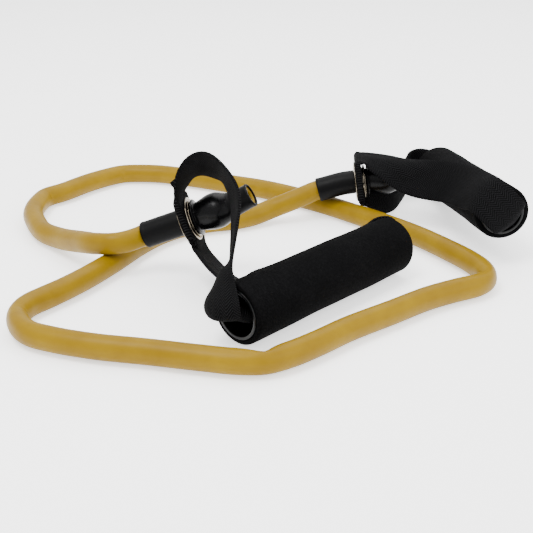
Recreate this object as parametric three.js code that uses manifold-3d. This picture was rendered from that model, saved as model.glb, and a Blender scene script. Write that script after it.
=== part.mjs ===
// Resistance band: rubber tube, two vinyl end sleeves with plugs, two grommet
// eyelets, two webbing loops and two foam-covered grips. Millimetres, +Z up,
// the lowest line of the grips and webbing is on z = 0.
import * as THREE from 'three';
import Module from 'manifold-3d';
import * as BufferGeometryUtils from 'three/addons/utils/BufferGeometryUtils.js';

const wasm = await Module();
wasm.setup();

// ---------------------------------------------------------------- dimensions
const TUBE_R = 6.25;          // tube outer radius
const TUBE_BORE = 3.75;       // tube bore radius
const TUBE_SIDES = 12;
const SLEEVE_WALL = 0.9;      // vinyl cover wall
const SKIN_GAP = 0.3;         // gap kept between touching pieces
const SLEEVE_SIDES = 24;
const PLUG_FROM = 33.5;       // plug start and end, from the sleeve mouth
const PLUG_TO = 49.0;
const TUBE_END = 60.0;        // tube end, from the sleeve mouth
const EYELET_AT = 26.2;       // eyelet middle, from the sleeve mouth
const FLANGE_R = 12.3;
const BARREL_IN = 7.7;
const BARREL_OUT = 8.3;
const WASHER_IN = 8.6;
const STRAP_HOLE = 9.0;
const PLY_HALF = 0.85;        // half of the webbing thickness
const STACK_HALF = 1.95;      // half of the folded stack in the eyelet
const GRIP_LEN = 120;
const CORE_R = 12.5;
const CORE_BORE = 11.0;
const FOAM_R = 15.5;
const FOAM_BORE = 12.8;

// outer radius of the vinyl cover against the distance from its mouth
const COVER = [[0, 7.2], [30.5, 7.2], [35.5, 8.6], [40, 9.7], [44, 9.7], [48, 8.2], [50.5, 7.3], [52, 6.8], [57, 6.4], [63.5, 6.4]];

// ------------------------------------------------------------------- layout
const NEAR_AXIS = [[-104.59, -19.62, 21], [-56.74, -23.48, 39.65], [-46.51, -24.31, 45.87]];   // near sleeve: mouth, bend, bulb-side end
const FAR_AXIS = [[-6.7, 62.01, 18.5], [8.66, 62.17, 22.98], [55.63, 59.8, 29.62]];    // far sleeve
const NEAR_STACK_UP = [-0.3609, 0.0291, 0.9322];
const FAR_STACK_UP = [-0.1397, 0.0071, 0.9902];
const NEAR_GRIP_FROM = [-52.8, -106.57, 15.5];
const NEAR_GRIP_TO = [29.62, -19.35, 15.5];
const FAR_GRIP_FROM = [91.9, -5.86, 28.91];
const FAR_GRIP_TO = [75.39, 112.25, 15.5];
// centres of the free tube, near sleeve to far sleeve
const ROUTE = [
  [-115.65, -25.07, 18.89], [-120.73, -26.68, 18.83], [-125.61, -25.11, 18.11], [-132.9, -19.83, 16.41],
  [-143.91, -7.45, 12.31], [-158.14, 9.7, 7.49], [-169.41, 22.08, 6.24], [-176.64, 36.38, 6.25],
  [-181.62, 54.62, 6.25], [-182.02, 70.52, 6.25], [-178.82, 81.92, 6.25], [-171.35, 92.66, 6.25],
  [-158.14, 111.59, 6.25], [-145.65, 124.74, 6.25], [-137.89, 129.39, 6.25], [-124.74, 132.21, 6.25],
  [-112.3, 130.92, 6.25], [-92.77, 123.76, 6.25], [-64.82, 110.86, 6.25], [-38.29, 97.62, 6.25],
  [-21.65, 85.78, 6.25], [-0.95, 68.81, 6.25], [15.56, 52.68, 6.25], [31.53, 36.36, 6.25],
  [49.83, 15.26, 6.25], [62.47, -3.68, 6.25], [72.8, -23.84, 6.25], [75, -35.74, 6.25],
  [73.49, -45.42, 6.25], [69.4, -52.11, 6.25], [61.41, -57.81, 6.25], [45.06, -67.29, 6.25],
  [22.21, -85.35, 6.25], [-1.35, -104.04, 6.25], [-16.03, -118.05, 6.25], [-31, -129.88, 6.25],
  [-40.12, -134.3, 6.25], [-49.38, -134.6, 6.25], [-67.15, -131.22, 6.25], [-92.01, -125.47, 6.25],
  [-119.55, -119.62, 6.25], [-138.78, -112.96, 6.25], [-148.67, -106.18, 6.25], [-153.8, -98.36, 6.25],
  [-156.08, -88.73, 6.25], [-154.97, -78.63, 6.25], [-149.3, -67.26, 6.25], [-136.84, -49.06, 6.25],
  [-122.68, -23.09, 6.25], [-110.77, 2.41, 6.25], [-100.23, 18.94, 6.25], [-89.15, 29.79, 6.25],
  [-73.83, 37.67, 6.25], [-55.88, 43.36, 6.25], [-45.43, 49.54, 6.53], [-36.18, 55.05, 8.46],
  [-26.34, 56.92, 11.83],
];
// webbing rows around the loop, five points across each
const NEAR_WEB = [
  [[-81.25, -34.04, 30.49], [-80.75, -27.82, 30.49], [-80.25, -21.59, 30.49], [-79.74, -15.36, 30.49], [-79.24, -9.13, 30.49]],
  [[-82.91, -33.91, 34.76], [-82.4, -27.68, 34.76], [-81.9, -21.45, 34.76], [-81.4, -15.22, 34.76], [-80.9, -8.99, 34.76]],
  [[-84.57, -33.78, 39.05], [-84.06, -27.55, 39.05], [-83.56, -21.32, 39.05], [-83.06, -15.09, 39.05], [-82.56, -8.86, 39.05]],
  [[-86.04, -33.57, 43.7], [-85.47, -27.4, 43.51], [-85.27, -21.15, 44.3], [-84.35, -14.97, 43.21], [-83.8, -8.71, 43.1]],
  [[-86.37, -33.3, 48.88], [-85.07, -27.27, 48.36], [-83.82, -21.15, 47.94], [-82.44, -15.09, 47.22], [-81.02, -9, 46.62]],
  [[-85.94, -32.82, 54.04], [-84.19, -26.96, 53.05], [-82.45, -21.02, 52.11], [-80.58, -15.14, 51.03], [-78.53, -9.31, 49.91]],
  [[-84.56, -32.3, 58.95], [-82.42, -26.68, 57.4], [-80.22, -21.03, 55.87], [-77.84, -15.49, 54.2], [-75.25, -10.09, 52.3]],
  [[-82.09, -31.98, 63.22], [-79.57, -26.73, 61], [-76.94, -21.56, 58.69], [-74.2, -16.56, 56.12], [-71.44, -11.72, 53.24]],
  [[-78.63, -32.28, 66.35], [-75.85, -27.58, 63.33], [-73.07, -22.99, 60.11], [-70.36, -18.51, 56.69], [-67.7, -14.13, 53.11]],
  [[-74.69, -33.67, 67.92], [-71.95, -29.48, 64.17], [-69.35, -25.31, 60.3], [-66.8, -21.16, 56.38], [-64.28, -17.07, 52.37]],
  [[-71.04, -36.24, 67.96], [-68.49, -32.28, 63.86], [-66.08, -28.26, 59.71], [-63.64, -24.2, 55.62], [-61.22, -20.26, 51.39]],
  [[-67.91, -39.64, 66.86], [-65.53, -35.64, 62.75], [-63.29, -31.56, 58.58], [-60.83, -27.41, 54.6], [-58.6, -23.43, 50.27]],
  [[-65.1, -43.42, 64.95], [-62.91, -39.23, 60.99], [-60.89, -34.97, 56.92], [-58.16, -30.59, 53.43], [-56.61, -26.58, 49.32]],
  [[-62.51, -47.21, 62.24], [-60.55, -42.73, 58.53], [-58.74, -38.22, 54.68], [-55.75, -33.63, 51.62], [-55.81, -29.94, 47.36]],
  [[-60.14, -50.67, 58.83], [-58.44, -45.85, 55.39], [-56.87, -41.06, 51.75], [-54.27, -36.32, 48.64], [-53.7, -31.99, 44.78]],
  [[-58.12, -53.55, 55.05], [-56.71, -48.47, 51.76], [-55.39, -43.47, 48.26], [-53.67, -38.5, 44.9], [-52.6, -33.37, 41.44]],
  [[-56.62, -55.93, 51.38], [-55.53, -50.77, 48], [-54.54, -45.73, 44.46], [-53.46, -40.69, 40.93], [-52.58, -35.54, 37.52]],
  [[-55.67, -58.13, 48.02], [-55.01, -53.06, 44.36], [-54.37, -48.1, 40.63], [-53.7, -43.16, 36.88], [-53.04, -38.16, 33.25]],
  [[-55.49, -60.48, 44.83], [-55.11, -55.55, 40.93], [-54.73, -50.74, 36.97], [-54.36, -45.96, 32.97], [-53.95, -41.18, 29.06]],
  [[-55.72, -63.03, 41.7], [-55.5, -58.2, 37.66], [-55.34, -53.54, 33.49], [-55.33, -48.98, 29.23], [-55.23, -44.42, 25.07]],
  [[-55.76, -65.63, 38.72], [-55.82, -60.88, 34.58], [-55.94, -56.47, 30.15], [-56.43, -52.27, 25.59], [-56.69, -48.07, 21.12]],
  [[-55.51, -68.22, 36.05], [-56.07, -63.58, 31.87], [-56.44, -59.63, 27.14], [-57.54, -56.09, 22.23], [-58.15, -52.55, 17.29]],
  [[-51.94, -68.02, 35.26], [-53.89, -65.72, 29.73], [-56.87, -63.37, 24.87], [-58.71, -60.61, 19.7], [-59.44, -58.04, 14.22]],
  [[-50.26, -70.53, 33.18], [-54.65, -69.27, 28.82], [-58.04, -67.47, 23.92], [-59.94, -65.58, 18.31], [-60.4, -64.03, 12.41]],
  [[-49.74, -73.97, 31.58], [-55.01, -73.09, 28.22], [-58.95, -71.81, 23.51], [-61.05, -70.62, 17.76], [-61.33, -69.89, 11.66]],
  [[-49.39, -77.74, 30.21], [-55.22, -77.13, 27.85], [-59.71, -76.24, 23.56], [-62.07, -75.59, 17.8], [-62.22, -75.47, 11.63]],
  [[-49.23, -81.75, 29.16], [-55.36, -81.32, 27.76], [-60.32, -80.72, 23.93], [-62.95, -80.47, 18.24], [-63.05, -80.8, 12.06]],
  [[-49.25, -85.98, 28.76], [-55.48, -85.61, 27.95], [-60.78, -85.22, 24.55], [-63.69, -85.26, 18.99], [-63.84, -85.91, 12.81]],
  [[-49.59, -90.17, 29.9], [-55.61, -90, 28.43], [-61.11, -89.72, 25.37], [-64.3, -89.95, 19.95], [-64.61, -90.8, 13.79]],
  [[-49.88, -94.61, 31.32], [-55.73, -94.49, 29.16], [-61.36, -94.22, 26.35], [-64.77, -94.55, 21.06], [-65.52, -95.37, 14.92]],
  [[-50.02, -99.56, 32.22], [-56.12, -98.93, 30.62], [-61.7, -98.67, 27.58], [-65.11, -99.06, 22.21], [-65.85, -99.96, 16.06]],
  [[-50.02, -104.94, 32.43], [-56.34, -103.66, 31.82], [-61.75, -103.41, 28.19], [-65.58, -103.49, 23.23], [-66.47, -104.23, 17.05]],
  [[-51.35, -110.96, 28.92], [-56.06, -108.53, 30.17], [-62.13, -108.18, 28.75], [-66.32, -107.84, 24.06], [-67.27, -108.29, 17.84]],
  [[-50, -112.72, 25.65], [-55.53, -113.33, 28.42], [-61.74, -113.05, 28.43], [-66.74, -112.2, 24.67], [-68.32, -112.08, 18.56]],
  [[-49.92, -116.14, 22.91], [-55.1, -117.7, 26.04], [-61.31, -117.6, 26.89], [-67.11, -116.45, 24.75], [-70.3, -115.23, 19.42]],
  [[-49.85, -119.35, 19.6], [-55.19, -120.98, 22.31], [-61.21, -120.18, 23.22], [-67.4, -120.09, 22.9], [-72.93, -117.31, 21.47]],
  [[-50.43, -122.48, 16.11], [-56.3, -121.38, 17.53], [-60.98, -117.74, 19], [-67.13, -117.48, 19.4], [-71.27, -113.85, 22.39]],
  [[-50.81, -120.27, 13.24], [-57.21, -120.83, 13.06], [-62.11, -117.31, 14.1], [-66.88, -113.95, 16.12], [-68.36, -110.3, 21.01]],
  [[-52.38, -119, 16.09], [-55.96, -117.94, 10.84], [-61.11, -114.41, 10.41], [-64.77, -110.32, 13.49], [-65.58, -107.04, 18.75]],
  [[-49.67, -117.22, 14.58], [-53.17, -115.08, 9.71], [-58.02, -111.18, 8.51], [-61.79, -107.06, 11.41], [-62.88, -104.13, 16.87]],
  [[-47.51, -114.59, 14.41], [-50.14, -112.11, 9.22], [-54.56, -107.93, 7.44], [-58.76, -103.96, 9.96], [-61.15, -101.71, 15.27]],
  [[-44.29, -110.89, 14.53], [-46.7, -108.62, 9.15], [-51.07, -104.56, 6.99], [-55.25, -100.45, 9.35], [-57.43, -97.95, 14.66]],
  [[-41.24, -107.6, 14.8], [-43.4, -105.28, 9.35], [-47.62, -101.2, 6.92], [-51.89, -97.05, 9.06], [-54.31, -94.47, 14.22]],
  [[-38.23, -104.26, 15.24], [-40.12, -101.95, 9.69], [-44.19, -97.87, 7.01], [-48.53, -93.67, 8.9], [-51.15, -91.03, 13.93]],
  [[-35.27, -100.9, 15.83], [-36.87, -98.64, 10.16], [-40.77, -94.59, 7.22], [-45.17, -90.33, 8.85], [-47.92, -87.66, 13.79]],
  [[-32.35, -97.5, 16.55], [-33.63, -95.34, 10.77], [-37.35, -91.33, 7.54], [-41.8, -87.02, 8.89], [-44.7, -84.27, 13.7]],
  [[-29.46, -94.07, 17.37], [-30.43, -92.05, 11.48], [-33.95, -88.11, 7.96], [-38.43, -83.74, 8.99], [-41.49, -80.89, 13.63]],
  [[-26.61, -90.6, 18.28], [-27.25, -88.75, 12.3], [-30.56, -84.92, 8.46], [-35.06, -80.49, 9.13], [-38.26, -77.49, 13.57]],
  [[-23.8, -87.08, 19.26], [-24.11, -85.44, 13.19], [-27.19, -81.75, 9.02], [-31.68, -77.27, 9.28], [-35.02, -74.09, 13.48]],
  [[-21.01, -83.48, 20.26], [-21, -82.11, 14.12], [-23.82, -78.61, 9.62], [-28.29, -74.1, 9.44], [-31.77, -70.7, 13.33]],
  [[-18.25, -79.8, 21.24], [-17.92, -78.74, 15.05], [-20.47, -75.49, 10.22], [-24.88, -70.97, 9.55], [-28.49, -67.32, 13.07]],
  [[-15.52, -76.03, 22.15], [-14.86, -75.32, 15.95], [-17.13, -72.37, 10.79], [-21.46, -67.88, 9.59], [-25.18, -63.97, 12.69]],
  [[-12.83, -72.2, 22.97], [-11.85, -71.82, 16.78], [-13.77, -69.24, 11.31], [-18, -64.83, 9.55], [-21.82, -60.68, 12.16]],
  [[-10.2, -68.31, 23.68], [-8.92, -68.22, 17.54], [-10.41, -66.07, 11.76], [-14.5, -61.82, 9.41], [-18.42, -57.48, 11.52]],
  [[-7.6, -64.42, 24.27], [-6.22, -64.41, 18.23], [-6.99, -62.83, 12.16], [-10.95, -58.84, 9.18], [-14.97, -54.37, 10.78]],
  [[-4.71, -60.71, 24.46], [-4.37, -60.12, 18.91], [-3.57, -59.33, 12.76], [-7.37, -55.93, 8.94], [-11.44, -51.43, 9.91]],
  [[-0.66, -58.06, 23.94], [-3.19, -55.43, 20.06], [-0.79, -55.11, 14.23], [-3.96, -52.98, 9.51], [-7.58, -49.18, 8.48]],
  [[3.5, -55.48, 23.13], [-0.53, -51.52, 21.79], [0.35, -50.25, 15.75], [-3.24, -48.16, 11.41], [-2.6, -49.07, 6.38]],
  [[7.09, -51.99, 22.96], [2.68, -47.79, 22.3], [0.67, -45.42, 16.89], [-0.29, -44.56, 10.8], [1.88, -47.49, 5.94]],
  [[10.28, -48.23, 23.17], [5.75, -44.12, 22.06], [3.08, -41.56, 16.89], [3.22, -41.67, 10.56], [5.81, -44.85, 5.9]],
  [[13.25, -44.44, 23.48], [8.7, -40.48, 21.9], [6.06, -38.06, 16.64], [6.63, -38.66, 10.35], [9.54, -41.95, 5.95]],
  [[16.12, -40.68, 23.79], [11.61, -36.84, 21.8], [9.13, -34.63, 16.37], [9.99, -35.53, 10.15], [13.17, -38.93, 6.02]],
  [[18.96, -36.96, 24.06], [14.52, -33.23, 21.72], [12.22, -31.24, 16.13], [13.32, -32.35, 9.98], [16.72, -35.83, 6.1]],
  [[21.83, -33.29, 24.27], [17.44, -29.67, 21.65], [15.31, -27.87, 15.93], [16.62, -29.13, 9.84], [20.22, -32.64, 6.18]],
  [[24.71, -29.62, 24.44], [20.36, -26.15, 21.58], [18.36, -24.52, 15.76], [19.85, -25.87, 9.73], [23.65, -29.33, 6.23]],
  [[27.57, -25.87, 24.62], [23.21, -22.63, 21.53], [21.33, -21.16, 15.62], [22.96, -22.52, 9.63], [26.96, -25.83, 6.24]],
  [[30.24, -21.92, 24.84], [25.9, -19.07, 21.49], [24.2, -17.8, 15.5], [25.87, -19.08, 9.51], [30.06, -22.05, 6.15]],
  [[32.18, -17.56, 25.89], [28.48, -15.25, 21.49], [27.28, -14.11, 15.41], [28.55, -15.31, 9.37], [32.5, -17.79, 5.28]],
  [[32.7, -12.78, 26.76], [29.67, -11.66, 21.44], [28.26, -11.05, 15.35], [29.91, -11.71, 9.3], [33.82, -13.05, 4.64]],
  [[30.81, -8.45, 27.52], [29.76, -7.62, 21.47], [28.66, -7.27, 15.32], [30.51, -7.7, 9.38], [33.49, -8.38, 3.94]],
  [[26.55, -6.34, 27.28], [27.56, -4.05, 21.52], [28.47, -3.27, 15.33], [29.64, -3.71, 9.16], [30.52, -5.34, 3.15]],
  [[22.31, -4.98, 26.6], [23.42, -2.91, 20.77], [24.53, -2.07, 14.62], [25.82, -2.3, 8.46], [27.19, -3.44, 2.43]],
  [[18.12, -4.81, 25.86], [19.19, -3.63, 19.78], [20.45, -3.34, 13.66], [21.82, -3.64, 7.56], [23.56, -4.74, 1.63]],
  [[14.31, -6.08, 25.11], [15.7, -6.09, 19.01], [17.19, -6.31, 12.98], [18.41, -6.5, 6.87], [20.4, -7.62, 1.25]],
  [[11.56, -9.06, 24.69], [12.94, -9.41, 18.6], [14.37, -9.81, 12.58], [15.32, -9.9, 6.42], [17.73, -11.38, 1.25]],
  [[9, -12.31, 24.45], [10.27, -12.84, 18.36], [11.57, -13.37, 12.32], [12.3, -13.44, 6.11], [14.98, -15.27, 1.25]],
  [[6.23, -15.5, 24.27], [7.42, -16.18, 18.19], [8.62, -16.83, 12.14], [9.22, -16.95, 5.91], [12.03, -19.08, 1.25]],
  [[3.28, -18.65, 24.15], [4.41, -19.46, 18.07], [5.54, -20.21, 12.02], [6.09, -20.42, 5.78], [8.93, -22.76, 1.25]],
  [[0.2, -21.81, 24.07], [1.31, -22.7, 18.01], [2.4, -23.54, 11.96], [2.93, -23.83, 5.72], [5.78, -26.32, 1.25]],
  [[-2.93, -25.02, 24.02], [-1.83, -25.97, 17.97], [-0.77, -26.86, 11.93], [-0.24, -27.22, 5.69], [2.61, -29.78, 1.25]],
  [[-6.09, -28.28, 23.99], [-4.98, -29.26, 17.95], [-3.92, -30.19, 11.91], [-3.4, -30.6, 5.67], [-0.54, -33.21, 1.25]],
  [[-9.23, -31.57, 23.96], [-8.13, -32.58, 17.93], [-7.07, -33.53, 11.9], [-6.55, -33.98, 5.66], [-3.7, -36.62, 1.25]],
  [[-12.37, -34.88, 23.96], [-11.27, -35.91, 17.93], [-10.22, -36.88, 11.89], [-9.7, -37.36, 5.66], [-6.87, -40.02, 1.25]],
  [[-15.5, -38.21, 23.96], [-14.41, -39.24, 17.93], [-13.37, -40.23, 11.9], [-12.86, -40.72, 5.66], [-10.05, -43.39, 1.25]],
  [[-18.64, -41.54, 23.97], [-17.55, -42.58, 17.94], [-16.52, -43.57, 11.91], [-16.03, -44.06, 5.67], [-13.25, -46.75, 1.25]],
  [[-21.75, -44.9, 24], [-20.69, -45.92, 17.96], [-19.67, -46.9, 11.92], [-19.22, -47.37, 5.68], [-16.48, -50.09, 1.25]],
  [[-24.8, -48.28, 24.03], [-23.78, -49.28, 17.98], [-22.79, -50.25, 11.94], [-22.43, -50.66, 5.68], [-19.76, -53.42, 1.25]],
  [[-27.73, -51.69, 24.1], [-26.8, -52.66, 18.03], [-25.89, -53.61, 11.98], [-25.68, -53.91, 5.71], [-23.18, -56.72, 1.25]],
  [[-30.59, -55.03, 24.23], [-29.83, -55.96, 18.13], [-29.06, -56.88, 12.05], [-29.07, -56.99, 5.77], [-26.9, -59.88, 1.25]],
  [[-33.56, -58.15, 24.42], [-33.06, -59, 18.28], [-32.5, -59.87, 12.17], [-32.72, -59.71, 5.9], [-31.05, -62.63, 1.25]],
  [[-36.83, -60.95, 24.66], [-36.63, -61.63, 18.49], [-36.31, -62.38, 12.35], [-36.68, -61.89, 6.11], [-35.62, -64.66, 1.25]],
  [[-40.44, -63.43, 24.94], [-40.49, -63.81, 18.75], [-40.42, -64.34, 12.58], [-40.86, -63.5, 6.39], [-40.42, -65.75, 1.25]],
  [[-44.43, -65.52, 25.22], [-44.66, -65.48, 19.03], [-44.78, -65.6, 12.83], [-45.16, -64.57, 6.7], [-45.22, -65.76, 1.25]],
  [[-48.89, -66.87, 25.44], [-49.11, -66.33, 19.27], [-49.29, -65.89, 13.08], [-49.51, -64.91, 6.95], [-49.69, -64.65, 1.25]],
  [[-53.75, -66.97, 25.6], [-53.71, -65.92, 19.5], [-53.64, -64.93, 13.35], [-53.62, -63.79, 7.21], [-53.5, -62.6, 1.25]],
  [[-58.62, -65.52, 25.76], [-58.03, -64.07, 19.77], [-57.42, -62.64, 13.72], [-56.84, -61.14, 7.67], [-56.18, -59.51, 1.63]],
  [[-63.1, -62.74, 25.84], [-61.76, -61.07, 20.03], [-60.4, -59.37, 14.18], [-58.96, -57.61, 8.35], [-57.39, -55.79, 2.54]],
  [[-66.94, -59.08, 25.76], [-64.86, -57.36, 20.19], [-62.73, -55.56, 14.6], [-60.47, -53.74, 9.07], [-58.05, -51.95, 3.55]],
  [[-70.12, -54.99, 25.57], [-67.44, -53.29, 20.23], [-64.73, -51.51, 14.89], [-61.9, -49.71, 9.61], [-58.97, -48, 4.32]],
  [[-72.74, -50.7, 25.33], [-69.66, -49.08, 20.17], [-66.57, -47.34, 15.01], [-63.43, -45.57, 9.9], [-60.23, -43.93, 4.77]],
  [[-74.93, -46.42, 25.09], [-71.63, -44.85, 20.01], [-68.38, -43.13, 14.95], [-65.06, -41.31, 9.97], [-61.76, -39.68, 4.94]],
  [[-76.79, -42.31, 24.88], [-73.42, -40.69, 19.84], [-70.13, -38.89, 14.83], [-66.7, -36.85, 10.02], [-63.45, -35.06, 5.06]],
  [[-78.3, -38.48, 24.85], [-74.97, -36.63, 19.85], [-71.8, -34.65, 14.85], [-68.21, -32.09, 10.44], [-65.2, -29.87, 5.59]],
  [[-79.12, -35.24, 25.15], [-76.09, -32.68, 20.28], [-73.39, -30.48, 15.17], [-69.63, -27.06, 11.65], [-67.12, -24.01, 7.09]],
  [[-81.69, -34.52, 22.99], [-78.98, -30.56, 18.66], [-75.42, -26.61, 15.44], [-71.51, -22.11, 13.98], [-69.63, -17.8, 10.4]],
  [[-78.49, -34.71, 24.1], [-76.21, -30.08, 19.19], [-74.86, -23.94, 17.01], [-74.54, -17.8, 17.46], [-73.49, -12.31, 15.89]],
  [[-77.99, -34.31, 22.06], [-77.49, -28.08, 22.06], [-76.98, -21.85, 22.06], [-76.48, -15.62, 22.06], [-75.98, -9.39, 22.06]],
  [[-79.62, -34.18, 26.26], [-79.11, -27.95, 26.26], [-78.61, -21.72, 26.26], [-78.11, -15.49, 26.26], [-77.61, -9.26, 26.26]],
];
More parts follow.
